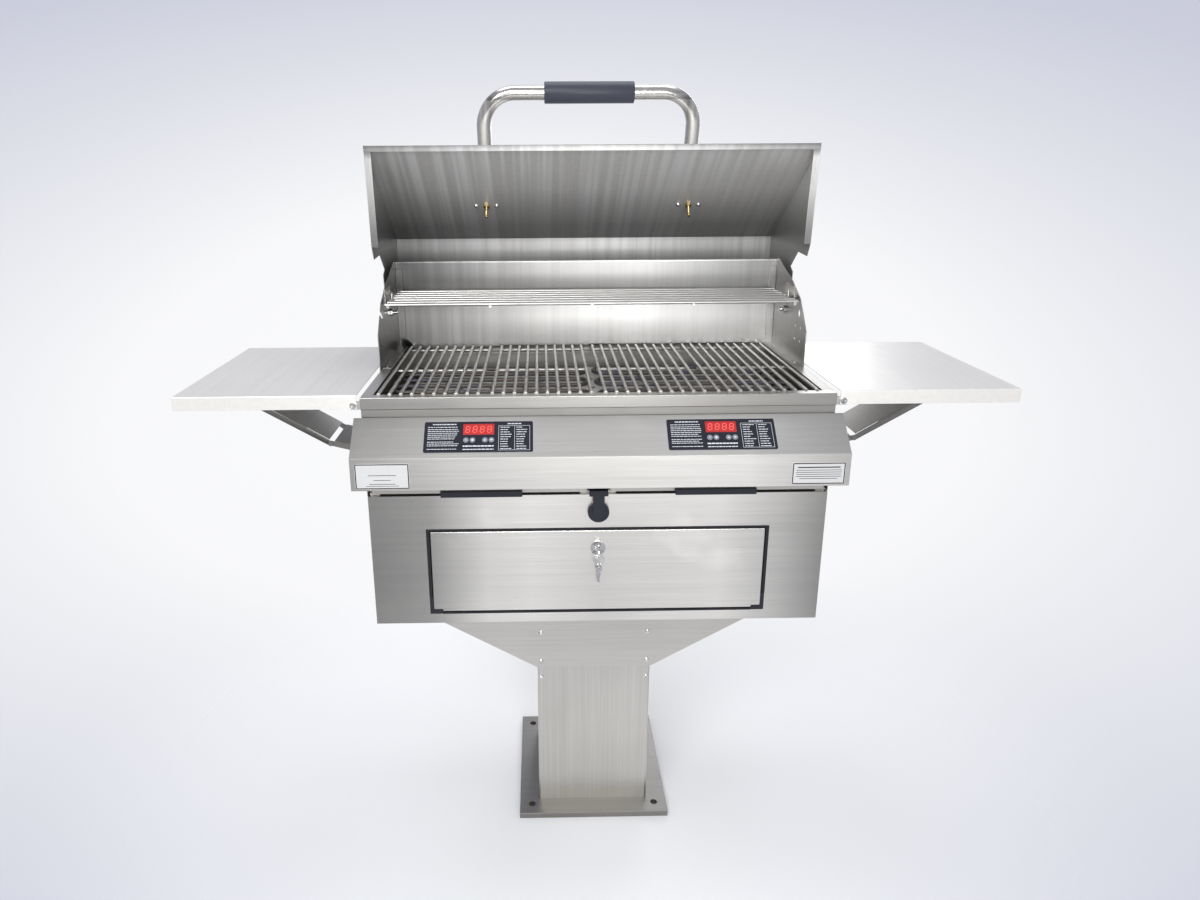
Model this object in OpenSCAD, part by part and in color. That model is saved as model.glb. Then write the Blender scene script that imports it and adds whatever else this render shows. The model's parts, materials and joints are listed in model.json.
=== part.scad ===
// Pedestal electric grill: square column on a floor plate, electrics cabinet, firebox with
// four cooking grates, roll-back lid, two fold-down side shelves and two grease trays.
// Millimetres. Origin: centre of the floor bolt pattern, on the floor. Front faces -Y, Z is up.

/* [Pedestal] */
// Side of the square floor plate
base_w = 305; // [280:1:340]
// Thickness of the floor plate
base_t = 12.7; // [10:0.1:16]
// Spacing of the four floor bolts, both ways
bolt_pitch = 254; // [240:1:262]
// Radius of the floor bolt holes
bolt_hole_r = 7; // [5:0.5:8]
// Radius of the cable way through the floor plate
cable_way_r = 25; // [15:1:30]
// Side of the square column
column_w = 225; // [200:1:240]
// Height of the column from the plate to the saddle
column_h = 321; // [260:1:420]
// Height of the saddle that spreads the load under the cabinet
saddle_h = 149; // [120:1:170]
// Width of the saddle at its top
saddle_w = 749; // [650:1:780]

/* [Cabinet] */
// Width of the electrics cabinet
cabinet_w = 814; // [800:1:814]
// Depth of the cabinet
cabinet_d = 385; // [370:1:400]
// Height of the cabinet
cabinet_h = 253; // [245:1:290]
// Thickness of the sheet steel in the bodies
sheet_t = 1.5; // [1.2:0.1:2]
// Width of the opening in the cabinet front
opening_w = 615.2; // [560:0.1:640]
// Height of the opening in the cabinet front
opening_h = 169.6; // [150:0.1:172]
// Height of the opening's lower edge above the cabinet floor
opening_rise = 19.2; // [17:0.1:24]

/* [Firebox] */
// How far the firebox stands out past the cabinet on each side
firebox_over = 1; // [1:0.5:3]
// Depth of the firebox
firebox_d = 409.5; // [404:0.5:420]
// Height of the firebox from its floor to the rail
firebox_h = 150; // [145:1:170]
// Height of the bay that the grease trays slide in
tray_bay_h = 31.3; // [30:0.1:36]
// Height of the rear wall above the rail
rear_wall_h = 183; // [170:1:200]
// Diameter of the grate bars
bar_dia = 6.4; // [5.5:0.1:8]
// Spacing of the grate bars
bar_pitch = 19.05; // [17:0.05:19.5]
// Bars in each grate
bars = 10; // [8:1:10]
// Width taken by each grate, with its gap
grate_pitch = 196; // [190:0.1:197]

/* [Control console] */
// How far the control console stands out past the firebox on each side
console_over = 12.5; // [9:0.5:13]
// How far the console stands out in front
console_d = 57; // [50:1:62]
// Height of the console's upright front
console_face_h = 57; // [55:1:60]
// Drop of the console's sloped face
console_slope_h = 55; // [50:1:58]
// Width of each control overlay
overlay_w = 184; // [160:1:190]
// Height of each control overlay along the slope
overlay_h = 58; // [50:1:60]
// Distance of each controller from the middle
control_x = 206; // [190:1:215]

/* [Lid] */
// How far the lid swings between open and shut, degrees
lid_swing = 87; // [80:1:88]
// Length of the lid's front face
lid_face = 339; // [320:1:350]
// How far the lid stands out past the firebox on each side
lid_over = 10.7; // [9.5:0.1:13]
// Radius of the tubular handle
handle_r = 14; // [12:0.1:16]
// Distance between the handle's two legs
handle_span = 416; // [360:1:440]
// Length of the black grip on the handle
grip_len = 175; // [120:1:200]

/* [Side shelves] */
// Width of each side shelf
shelf_w = 312.5; // [306:0.5:318]
// Depth of each side shelf, front to back
shelf_d = 385; // [370:1:390]
// Height of the flanges round each shelf
shelf_flange = 24.5; // [22:0.5:28]
// Width of the folding brace under each shelf
brace_w = 109; // [90:1:130]

/* [Door and trays] */
// Room between the drop-down door and each side of its opening
door_side = 7.1; // [6.1:0.1:20]
// Room between the door's top edge and its opening
door_head = 5.5; // [5.3:0.1:12]
// Depth of the door's returned edges
door_d = 15; // [12:0.5:18]
// Depth of the grease trays, front to back
tray_d = 350; // [300:1:360]
// Length of each tray's black grip
tray_grip_w = 143; // [100:1:170]

/* [Hidden] */
$fn = 64;

// Overrun of a cut past the face that it cuts
over = 1;
// Radial clearance of a running fit
fit = 0.08;
// Clearance between neighbours that move past each other
gap = 0.5;
// Gap between pieces that only lie side by side
hair = 0.3;
// Overlap that joins two lengths of the same piece
lap = 0.02;

// Widths that follow the cabinet, and the door in its opening
firebox_w = cabinet_w + 2 * firebox_over;
console_w = firebox_w + 2 * console_over;
lid_w = firebox_w + 2 * lid_over;
door_w = opening_w - 2 * door_side;
wall_x = firebox_w / 2;

// Levels, from the floor up
column_top = base_t + column_h + saddle_h;
cabinet_z = column_top;
saddle_z = cabinet_z - saddle_h;
cabinet_top = cabinet_z + cabinet_h;
firebox_z = cabinet_top + tray_bay_h;
rail_z = firebox_z + firebox_h;

// The front plane stands this far ahead of the column's middle
front_reach = 190;
front = -front_reach;

// Thickness of the saddle and column sheet
heavy_t = 2;
// Width of a stiffening flange turned in from a sheet edge
turn_in = 15;
// Corner radius of the column
column_r = 5;

// Screws in the saddle and column: radii, head and places
screw_r = 2.5;
screw_head_r = 4.6;
screw_head_h = 2.6;
screw_x = 105;
screw_drops = [71.5, 135.5, 174];
// Rivets in the cabinet's sides
rivet_r = 2.4;
rivet_head_r = 4;
rivet_head_h = 2.2;
rivet_inset = 9;
rivet_drops = [78.3, 147, 214.9];

// Door, lock and hinge
door_gap = 1.5;
door_rise = 5.3;
door_h = opening_h - door_rise - door_head;
hinge_up = 19;
hinge_back = 5;
hinge_pin_r = 2;
hinge_pin_len = 10;
hinge_block_w = 23;
notch_w = 18;
notch_h = 4;
seal_lap = 1;
seal_d = 5;
lock_drop = 33.8;
lock_flange_r = 13.5;
lock_flange_h = 3;
lock_body_r = 9.5;
lock_body_len = 15.3;
cylinder_r = 6;
cylinder_len = 21.2;
cam_len = 44;
cam_w = 14;
cam_t = 2.2;
key_t = 2;
key_bow = 22;
key_reach = 24;
key_hole_r = 3.2;
ring_r = 9.5;
ring_wire_r = 0.9;
spare_len = 28;
spare_blade = 8;
spare_hole_r = 3;
spare_turn = 40;

// Turn latch in the middle of the cabinet front
latch_drop = 31.6;
latch_r = 19;
latch_h = 8;
latch_boss_r = 10;
latch_arm_h = 5;
latch_neck_w = 20;
latch_head_w = 33;
latch_head_h = 10;
latch_reach = 43;

// Grease trays
tray_t = 1.2;
tray_lift = 5.2;
tray_wall_h = 20;
tray_mid = 20;
tray_side = 8;
tray_grip_h = 11.5;
tray_grip_d = 11;
tray_grip_rise = 1.5;
runner_w = 12;

// Firebox fittings
rail_face_h = 21;
rail_drop = 34;
rail_top_d = 19;
rail_step = 3;
ledge_w = 14;
bar_r = bar_dia / 2;
bar_lift = 3;
bar_rear = 12;
cross_sink = 0.6;
grate_rods = 3;
rod_inset = 10;
ledge_h = 4;
clip_r = 4;
clip_count = 5;
clip_side = 34;
clip_pitch = (firebox_w - 2 * clip_side) / (clip_count - 1);
element_r = 4.2;
element_drop = 30;
element_runs = 6;
element_pitch = 44;
element_w = 372;
element_mid = 8;
post_r = 3;
shield_drop = 45;
shield_side = 63;
shield_w = firebox_w - 2 * shield_side;
shield_front = 47;
shield_d = 330;
shield_hole_r = 7.5;
shield_holes = 11;
shield_rows = 3;
shield_rim = 20;
shield_pitch = (shield_w - 2 * shield_rim) / (shield_holes - 1);
drain_w = 220;
drain_d = 24;
flange_w = 19;

// Side walls: outline in front-plane distance and height above the rail
wall_front = 184;
wall_low_h = 69;
wall_knee_y = 232;
wall_knee_h = 125;
wall_bend_y = 289;
wall_bend_h = 152;
wall_top_y = 395;
wall_top_h = 188;
foot_y = 208;
motor_y = 236;
motor_z = 57;
motor_pitch_y = 32;
motor_pitch_z = 26;
motor_hole_r = 3.3;
spit_y = 235;
spit_z = 96;
spit_half_w = 7;
spit_half_h = 11;
slot_w = 9;

// Warming rack
rack_z = 122.5;
rack_front = 217;
rack_rear = 385;
rack_side = 11;
rack_w = firebox_w - 2 * rack_side;
rack_rod_r = 3;
rack_rods = 7;
rack_ties = 5;
rack_hook_h = 16;
rack_bracket_y = 262;
rack_bracket_d = 60;
rack_bracket_h = 30;
rack_lip = 18;

// Lid: pivot and outline of the shut lid, from the front plane and the rail
pivot_y = 322;
pivot_z = 90;
pivot_r = 4;
pivot_head_r = 7.5;
pivot_head_h = 5;
pivot_stem = 14;
rim_y = -7;
rim_z = 6;
rim_lip = 11.6;
side_lip = 12.8;
rim_rear_y = 178;
rim_rear_z = 11;
tab_y = 203;
tab_z = 23;
tab_top_z = 79;
throat_y = 239;
throat_z = 120;
heel_y = 247;
heel_z = 102;
lobe_r = 26;
lid_top_y = 320;
lid_rear_y = 418;
lid_rear_z = 190;
face_angle = 52.7;

// Handle: feet on the lid face, standoff and grip place with the lid open
foot_up = 203;
foot_r = 21;
foot_t = 3;
standoff = 34;
grip_y = 354;
grip_z = 513;
bend_r = 42;
corner_r = 64;
grip_t = 6.4;
stud_r = 3;
stud_len = 28;
nut_r = 6.5;
nut_h = 5;
dome_r = 5;
dome_pitch = 42;

// Side shelves and their braces, from the firebox's side and the rail
shelf_pivot_out = 12;
shelf_pivot_x = wall_x + shelf_pivot_out;
shelf_pivot_drop = 13.4;
shelf_top = 4;
shelf_inset = 2;
shelf_end_gap = 5.5;
shelf_pin_r = 3;
shelf_head_r = 5.5;
shelf_head_h = 3.5;
ear_t = 2;
ear_w = 19;
ear_h = 17;
link_t = 2;
link_half = 6.5;
link_end_r = 4.7;
knee_head_r = 4.2;
knee_out = 94;
knee_x = wall_x + knee_out;
knee_drop = 130;
strut_out = 284;
strut_x = wall_x + strut_out;
strut_drop = 16.4;
anchor_out = 10;
anchor_x = wall_x + anchor_out;
anchor_drop = 150;
knee_open = 54;
knee_end = 6;
anchor_open = 16;

// Console fittings
overlay_t = 0.8;
display_w = 53;
display_h = 21;
display_up = 14.4;
button_r = 4.7;
button_gap = 0.3;
button_proud = 0.8;
button_len = 8;
button_drop = 6.3;
button_pitch = 11;
button_pair = 16;
button_mid = 0.5;
button_places = [for (pair = [-1, 1]) for (one = [-1, 1])
                 button_mid + pair * button_pair + one * button_pitch / 2];
box_w = 150;
box_h = 40;
box_t = 10;
box_off = 11;
plate_w = 91;
plate_height = 45.5;
plate_side = 53.5;
plate_x = console_w / 2 - plate_side;
plate_small_w = 90;
plate_small_h = 39;
plate_t = 0.8;
plate_r = 3;
plate_rise = 26;
console_screw_rise = 16;

// Electrics in the cabinet
block_w = 120;
block_d = 60;
block_h = 48;
block_y = 90;
gland_r = 16;
gland_h = 14;
gland_bore_r = 7;

steel = "#c4c3bf";
light_steel = "#dcdbd8";
dark = "#3a3f4b";
black = "#1e1f24";

// Box given by its low corner and its high corner
module span(low, high) {
  translate(low) cube([for (i = [0 : 2]) high[i] - low[i]]);
}

// Copies the piece to both sides of the middle plane
module both() {
  children();
  mirror([1, 0, 0]) children();
}

// Flat outline in the plane of depth and height, drawn out along the width
module side_cut(x0, x1, points) {
  translate([x0, 0, 0]) rotate([90, 0, 90]) linear_extrude(x1 - x0) polygon(points);
}

// Rectangle with round corners
module round_rect(w, h, r) {
  square([w - 2 * r, h], center = true);
  square([w, h - 2 * r], center = true);
  for (x = [-1, 1]) {
    for (y = [-1, 1]) {
      translate([x * (w / 2 - r), y * (h / 2 - r)]) circle(r);
    }
  }
}

// Cylinder along the depth, from y0 to y1
module rod_y(x, z, r, y0, y1) {
  translate([x, y1, z]) rotate([90, 0, 0]) cylinder(h = y1 - y0, r = r);
}

// Cylinder along the width, from x0 to x1
module rod_x(y, z, r, x0, x1) {
  translate([x0, y, z]) rotate([0, 90, 0]) cylinder(h = x1 - x0, r = r);
}

// Floor plate with its bolt holes and the cable way
module base_plate() {
  color(steel) difference() {
    translate([-base_w / 2, -base_w / 2, 0]) cube([base_w, base_w, base_t]);
    for (x = [-1, 1]) {
      for (y = [-1, 1]) {
        translate([x * bolt_pitch / 2, y * bolt_pitch / 2, -over])
          cylinder(h = base_t + 2 * over, r = bolt_hole_r);
      }
    }
    translate([0, 0, -over]) cylinder(h = base_t + 2 * over, r = cable_way_r);
  }
}

// Places a copy at every screw of the saddle, on the front and, turned round, on the rear
module at_screws() {
  for (turn = [0, 180]) {
    rotate([0, 0, turn]) {
      for (x = [-screw_x, screw_x]) {
        for (drop = screw_drops) {
          translate([x, -column_w / 2, cabinet_z - drop]) children();
        }
      }
    }
  }
}

// Bores for the saddle's screws
module screw_bores() {
  at_screws() rod_y(0, 0, screw_r + fit, -2 * heavy_t, 2 * heavy_t);
}

// Square tube column
module column_shell() {
  color(steel) difference() {
    translate([0, 0, base_t]) linear_extrude(column_top - base_t) difference() {
      round_rect(column_w, column_w, column_r);
      round_rect(column_w - 2 * heavy_t, column_w - 2 * heavy_t, column_r - heavy_t);
    }
    screw_bores();
  }
}

// Flat tapered plate at the front of the saddle
module saddle_face() {
  foot = column_w / 2 + heavy_t;
  translate([0, -column_w / 2, 0]) rotate([90, 0, 0]) linear_extrude(heavy_t)
    polygon([[-foot, saddle_z], [foot, saddle_z], [saddle_w / 2, cabinet_z],
             [-saddle_w / 2, cabinet_z]]);
}

// Front plate of the saddle
module saddle_front() {
  color(light_steel) difference() {
    saddle_face();
    screw_bores();
  }
}

// Rear plate of the saddle with its sloping sides and the flanges under the cabinet
module saddle_shell() {
  foot = column_w / 2;
  lean = atan2(saddle_h, saddle_w / 2 - foot - heavy_t);
  slope_t = heavy_t / sin(lean);
  color(steel) difference() {
    union() {
      rotate([0, 0, 180]) saddle_face();
      both() {
        translate([0, foot, 0]) rotate([90, 0, 0]) linear_extrude(column_w)
          polygon([[foot, saddle_z], [foot + heavy_t, saddle_z], [saddle_w / 2, cabinet_z],
                   [saddle_w / 2 - slope_t, cabinet_z],
                   [foot, saddle_z + (slope_t - heavy_t) * tan(lean)]]);
        span([saddle_w / 2 - 2 * turn_in, -foot, cabinet_z - heavy_t],
             [saddle_w / 2 - heavy_t, foot, cabinet_z]);
      }
    }
    screw_bores();
  }
}

// One rivet in a side panel
module side_rivet(x) {
  rod_x(0, 0, rivet_r, x - 2 * sheet_t, x);
  rod_x(0, 0, rivet_head_r, x, x + rivet_head_h);
}

// Places a copy at every rivet of the cabinet's sides
module at_rivets() {
  for (drop = rivet_drops) {
    translate([0, front + rivet_inset, cabinet_top - drop]) children();
  }
}

// Screws of the saddle, rivets of the cabinet and side screws of the console
module panel_screws() {
  color(light_steel) {
    for (turn = [0, 180]) {
      rotate([0, 0, turn]) for (x = [-screw_x, screw_x]) {
        for (i = [0 : len(screw_drops) - 1]) {
          skin = i == len(screw_drops) - 1 ? 0 : heavy_t;
          translate([x, -column_w / 2, cabinet_z - screw_drops[i]]) {
            rod_y(0, 0, screw_r, -skin, heavy_t + screw_head_h);
            rod_y(0, 0, screw_head_r, -skin - screw_head_h, -skin);
          }
        }
      }
    }
    both() {
      at_rivets() side_rivet(cabinet_w / 2);
      translate([0, front - console_d / 2, firebox_z + console_screw_rise])
        side_rivet(console_w / 2);
    }
  }
}

// Cabinet body: floor, sides, back and deck
module cabinet_shell() {
  half = cabinet_w / 2;
  rear = front + cabinet_d;
  color(steel) difference() {
    span([-half, front + sheet_t, cabinet_z], [half, rear, cabinet_top]);
    span([-half + sheet_t, front - over, cabinet_z + sheet_t],
         [half - sheet_t, rear - sheet_t, cabinet_top - sheet_t]);
    translate([0, 0, cabinet_z - over]) cylinder(h = sheet_t + 2 * over, r = gland_r - gland_r / 4);
    both() at_rivets() rod_x(0, 0, rivet_r, half - 2 * sheet_t, half + over);
  }
}

// Levels of the opening and of the door in it
opening_z = cabinet_z + opening_rise;
door_z = opening_z + door_rise;

// Cabinet front panel with its returned sides and the flange that the lock catches
module cabinet_front() {
  half = cabinet_w / 2;
  color(light_steel) difference() {
    union() {
      span([-half, front, cabinet_z], [half, front + sheet_t, cabinet_top]);
      both() span([half - 2 * sheet_t, front + sheet_t, cabinet_z + sheet_t],
                  [half - sheet_t, front + turn_in, cabinet_top - sheet_t]);
      span([-opening_w / 2, front, opening_z + opening_h],
           [opening_w / 2, front + turn_in, opening_z + opening_h + sheet_t]);
    }
    span([-opening_w / 2, front - over, opening_z],
         [opening_w / 2, front + turn_in + over, opening_z + opening_h]);
    both() at_rivets() rod_x(0, 0, rivet_r, half - 3 * sheet_t, half + over);
  }
}

// Height of the hinge axis and of the blocks round it
hinge_z = door_z + hinge_up;
block_top = hinge_z + notch_w / 2;

// Rubber edge round the door opening, cut back at the hinge blocks
module door_seal() {
  low = opening_z + door_rise - door_gap;
  color(black) difference() {
    span([-opening_w / 2, front - seal_lap, opening_z],
         [opening_w / 2, front + seal_d, opening_z + opening_h]);
    span([-door_w / 2 - door_gap, front - seal_lap - over, low],
         [door_w / 2 + door_gap, front + seal_d + over, door_z + door_h + door_gap]);
    both() span([opening_w / 2 - hinge_block_w - hair, front - seal_lap - over, opening_z - over],
                [opening_w / 2 + over, front + seal_d + over, block_top + hair]);
  }
}

// Black hinge blocks in the lower corners of the opening
module door_hinge_blocks() {
  x1 = opening_w / 2;
  foot_top = door_z + notch_h - door_gap;
  color(black) both() difference() {
    union() {
      span([x1 - hinge_block_w, front, opening_z], [x1, front + door_d, foot_top]);
      span([door_w / 2 + gap, front, opening_z], [x1, front + door_d, block_top]);
      span([x1 - hinge_block_w, front + sheet_t, opening_z - turn_in / 2],
           [x1 + turn_in, front + sheet_t + heavy_t, opening_z]);
    }
    rod_x(front + hinge_back, hinge_z, hinge_pin_r + fit, x1 - hinge_block_w - over, x1 + over);
  }
}

// Drop-down door: a formed pan with its two hinge pins
module door() {
  half = door_w / 2;
  top = door_z + door_h;
  color(light_steel) difference() {
    union() {
      difference() {
        span([-half, front, door_z], [half, front + door_d, top]);
        span([-half + sheet_t, front + sheet_t, door_z + sheet_t],
             [half - sheet_t, front + door_d + over, top - sheet_t]);
      }
      both() {
        rod_x(front + hinge_back, hinge_z, hinge_pin_r, half - hinge_pin_len, half + hinge_back);
        span([half - 2 * hinge_pin_len, front + sheet_t, hinge_z - hinge_back],
             [half - hinge_pin_len, front + 2 * hinge_back, hinge_z + hinge_back]);
      }
    }
    rod_y(0, lock_z, lock_body_r, front - over, front + sheet_t + over);
    both() span([opening_w / 2 - hinge_block_w - gap, front - over, door_z - over],
                [half + over, front + door_d + over, door_z + notch_h]);
  }
}

lock_z = door_z + door_h - lock_drop;

// Lock barrel in the door
module lock_barrel() {
  color(light_steel) difference() {
    union() {
      rod_y(0, lock_z, lock_flange_r, front - lock_flange_h, front);
      rod_y(0, lock_z, lock_body_r, front - over, front + lock_body_len);
      rod_y(0, lock_z, lock_flange_r, front + sheet_t, front + 2 * lock_flange_h);
    }
    rod_y(0, lock_z, cylinder_r + fit, front - lock_flange_h - over, front + lock_body_len + over);
  }
}

// Lock cylinder with its cam and the key in it
module door_key() {
  face = front - lock_flange_h;
  color(light_steel) {
    difference() {
      union() {
        rod_y(0, lock_z, cylinder_r, face, face + cylinder_len);
        span([-cam_w / 2, face + cylinder_len - cam_t, lock_z - cam_w / 2],
             [cam_len, face + cylinder_len, lock_z + cam_w / 2]);
        span([-key_t / 2, face - key_reach + key_bow / 2, lock_z - spare_blade / 2],
             [key_t / 2, face + key_t, lock_z + spare_blade / 2]);
        rod_x(face - key_reach + key_bow / 2, lock_z, key_bow / 2, -key_t / 2, key_t / 2);
      }
      rod_x(ring_y, lock_z - key_hole_low, key_hole_r, -key_t, key_t);
    }
  }
}

key_hole_low = 4;
ring_y = front - lock_flange_h - key_reach + key_bow / 2 - key_hole_low / 2;
ring_z = lock_z - key_hole_low - key_hole_r + ring_wire_r + hair - ring_r;
spare_z = ring_z - ring_r + ring_wire_r - spare_hole_r + lap;

// Split ring through the key's bow with the spare key hanging from it
module key_ring() {
  bow_r = spare_blade;
  color(light_steel) {
    translate([0, ring_y, ring_z]) rotate([90, 0, 0])
      rotate_extrude() translate([ring_r, 0]) circle(ring_wire_r, $fn = 24);
    translate([0, ring_y, spare_z]) rotate([0, 0, spare_turn]) difference() {
      union() {
        rod_x(0, -bow_r / 2, bow_r, -key_t / 2, key_t / 2);
        span([-key_t / 2, -spare_blade / 2, -bow_r / 2 - spare_len],
             [key_t / 2, spare_blade / 2, -bow_r / 2]);
      }
      rod_x(0, 0, spare_hole_r, -key_t, key_t);
    }
  }
}

latch_z = cabinet_top - latch_drop;

// Round base of the turn latch
module latch_base() {
  color(dark) difference() {
    rod_y(0, latch_z, latch_r, front - latch_h, front);
    rod_y(0, latch_z, latch_boss_r + fit, front - latch_h - over, front - heavy_t);
  }
}

// Lever of the turn latch: boss, arm and cross head
module latch_lever() {
  face = front - latch_h - gap;
  top = latch_z + latch_reach;
  color(dark) {
    rod_y(0, latch_z, latch_boss_r, face - latch_arm_h, front - heavy_t - hair);
    span([-latch_neck_w / 2, face - latch_arm_h, latch_z], [latch_neck_w / 2, face, top]);
    span([-latch_head_w / 2, face - latch_arm_h, top - latch_head_h],
         [latch_head_w / 2, front - heavy_t, top]);
  }
}

tray_z = cabinet_top + tray_lift;
tray_half = cabinet_w / 2 - tray_side;

// Runners on the cabinet deck that the trays slide on
module tray_runners() {
  y0 = front + tray_side;
  y1 = y0 + tray_d;
  color(steel) {
    both() span([tray_half - runner_w, y0, cabinet_top],
                [cabinet_w / 2 - 2 * sheet_t, y1, tray_z - hair]);
    span([-runner_w - tray_mid, y0, cabinet_top], [runner_w + tray_mid, y1, tray_z - hair]);
  }
}

// Grease tray on the right: open pan with a front lip
module tray() {
  y0 = front + sheet_t + hair;
  y1 = front + tray_d;
  top = tray_z + tray_wall_h;
  color(steel) {
    difference() {
      span([tray_mid, y0, tray_z], [tray_half, y1, top]);
      span([tray_mid + tray_t, y0 + tray_t, tray_z + tray_t],
           [tray_half - tray_t, y1 - tray_t, top + over]);
    }
    span([tray_mid, front - tray_t, tray_z], [tray_half, y0, top]);
  }
}

// Black grip of the right tray
module tray_grip() {
  z0 = cabinet_top + tray_grip_rise;
  face = front - tray_t;
  color(dark) side_cut(control_x - tray_grip_w / 2, control_x + tray_grip_w / 2, [
    [face, z0], [face, z0 + tray_grip_h], [face - tray_grip_d + heavy_t, z0 + tray_grip_h],
    [face - tray_grip_d, z0 + tray_grip_h - heavy_t], [face - tray_grip_d, z0],
    [face - tray_grip_d / 2, z0], [face - tray_grip_d / 2, z0 + heavy_t]
  ]);
}

module grease_tray_left() { mirror([1, 0, 0]) tray(); }
module grease_tray_right() { tray(); }
module tray_grip_left() { mirror([1, 0, 0]) tray_grip(); }
module tray_grip_right() { tray_grip(); }

// Console outline: rear of its top edge, fold and lower front edge
console_z = rail_z - rail_drop - sheet_t / 2;
fold_z = console_z - console_slope_h;
console_low = fold_z - console_face_h;
console_rear = front - gap;
slope = atan2(console_slope_h, console_d);

// Carries a drawing onto the middle of the sloped face: x across, y up the slope, z outward
module on_slope() {
  translate([0, front - console_d / 2, (console_z + fold_z) / 2]) rotate([slope, 0, 0]) children();
}

// Places a copy at the middle of each controller
module each_control() {
  for (x = [-control_x, control_x]) translate([x, 0, 0]) children();
}

// Bent housing of the control console
module console_shell() {
  half = console_w / 2;
  edge_z = console_z - gap * tan(slope);
  drop = sheet_t / cos(slope);
  outer = [[console_rear, edge_z], [front - console_d, fold_z],
           [front - console_d, console_low], [console_rear, console_low]];
  inner = [[console_rear + over, edge_z - drop], [console_rear, edge_z - drop],
           [front - console_d + sheet_t, fold_z + sheet_t * tan(slope) - drop],
           [front - console_d + sheet_t, console_low + sheet_t],
           [console_rear + over, console_low + sheet_t]];
  reach = wall_x - turn_in;
  color(steel) difference() {
    union() {
      difference() {
        side_cut(-half, half, outer);
        side_cut(-half + sheet_t, half - sheet_t, inner);
      }
      span([-reach, console_rear, console_low], [reach, front + rail_step, console_low + sheet_t]);
      span([-reach, console_rear - gap, console_z - 5 / 2 * sheet_t],
           [reach, front + rail_step, console_z - 3 / 2 * sheet_t]);
      both() span([half - turn_in, console_rear - sheet_t, console_low],
                  [half, console_rear, edge_z - drop]);
    }
    on_slope() each_control() {
      translate([0, display_up, 0]) cube([display_w, display_h, 4 * sheet_t], center = true);
      for (x = button_places) {
        translate([x, -button_drop, -2 * sheet_t])
          cylinder(h = 4 * sheet_t, r = button_r + 2 * button_gap);
      }
    }
    both() translate([0, front - console_d / 2, firebox_z + console_screw_rise])
      rod_x(0, 0, rivet_r, half - 2 * sheet_t, half + over);
  }
}

// Black control overlays with their windows and button holes
module control_overlays() {
  color(black) on_slope() each_control() difference() {
    linear_extrude(overlay_t) round_rect(overlay_w, overlay_h, plate_r);
    translate([0, display_up, overlay_t / 2])
      cube([display_w, display_h, 2 * overlay_t], center = true);
    for (x = button_places) {
      translate([x, -button_drop, -over]) cylinder(h = overlay_t + 2 * over, r = button_r + button_gap);
    }
  }
}

// Red digit windows
module displays() {
  color("#c8302f") on_slope() each_control() translate([0, display_up, -box_off])
    linear_extrude(box_off + overlay_t / 2)
      square([display_w - hair, display_h - hair], center = true);
}

// Controller housings behind the sloped face, on four posts, with a switch under each button
module controller_boxes() {
  color(dark) on_slope() each_control() {
    translate([-box_w / 2, -box_h / 2, -box_off - box_t]) cube([box_w, box_h, box_t]);
    for (x = [-1, 1]) {
      for (y = [-1, 1]) {
        translate([x * (box_w - 3 * post_r) / 2, y * (box_h - 3 * post_r) / 2, -box_off - over])
          cylinder(h = box_off - sheet_t + over, r = post_r);
      }
    }
    for (x = button_places) {
      translate([x, -button_drop, -box_off - over])
        cylinder(h = box_off + over - button_len + button_proud - gap, r = button_r / 2);
    }
  }
}

// One push button, standing a little proud of the overlay
module button(side, place) {
  color("#e8e8ea") on_slope() translate([side * control_x + button_places[place], -button_drop,
                                         overlay_t + button_proud - button_len])
    cylinder(h = button_len, r = button_r);
}

module button_left_on() { button(-1, 0); }
module button_left_off() { button(-1, 1); }
module button_left_up() { button(-1, 2); }
module button_left_down() { button(-1, 3); }
module button_right_on() { button(1, 0); }
module button_right_off() { button(1, 1); }
module button_right_up() { button(1, 2); }
module button_right_down() { button(1, 3); }

// Bare name and notice plates on the console's front
module nameplates() {
  face = front - console_d;
  color("#d8d8da") {
    translate([-plate_x, face, console_low + plate_rise]) rotate([90, 0, 0])
      linear_extrude(plate_t) round_rect(plate_w, plate_height, plate_r);
    translate([plate_x, face, console_low + plate_rise - plate_r]) rotate([90, 0, 0])
      linear_extrude(plate_t) round_rect(plate_small_w, plate_small_h, plate_r);
  }
}

// Terminal block on the cabinet floor
module terminal_block() {
  z0 = cabinet_z + sheet_t;
  color(black) difference() {
    span([-block_w / 2, block_y, z0], [block_w / 2, block_y + block_d, z0 + block_h]);
    for (x = [-2 : 2]) {
      translate([x * block_w / 6, block_y + block_d / 2, z0 + block_h / 2])
        cylinder(h = block_h, r = block_w / 20);
    }
  }
}

// Gland in the cabinet floor for the supply that comes up the column
module cable_gland() {
  color(dark) difference() {
    union() {
      translate([0, 0, cabinet_z - gland_h]) cylinder(h = gland_h, r = gland_r);
      translate([0, 0, cabinet_z - over]) cylinder(h = sheet_t + 2 * over, r = gland_r - gland_r / 4);
      translate([0, 0, cabinet_z + sheet_t]) cylinder(h = gland_h, r = gland_r);
    }
    translate([0, 0, cabinet_z - gland_h - over])
      cylinder(h = 2 * gland_h + sheet_t + 2 * over, r = gland_bore_r);
  }
}

firebox_rear = front + firebox_d;
ledge_z = rail_z + bar_lift - 2 * bar_dia + cross_sink;

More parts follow.
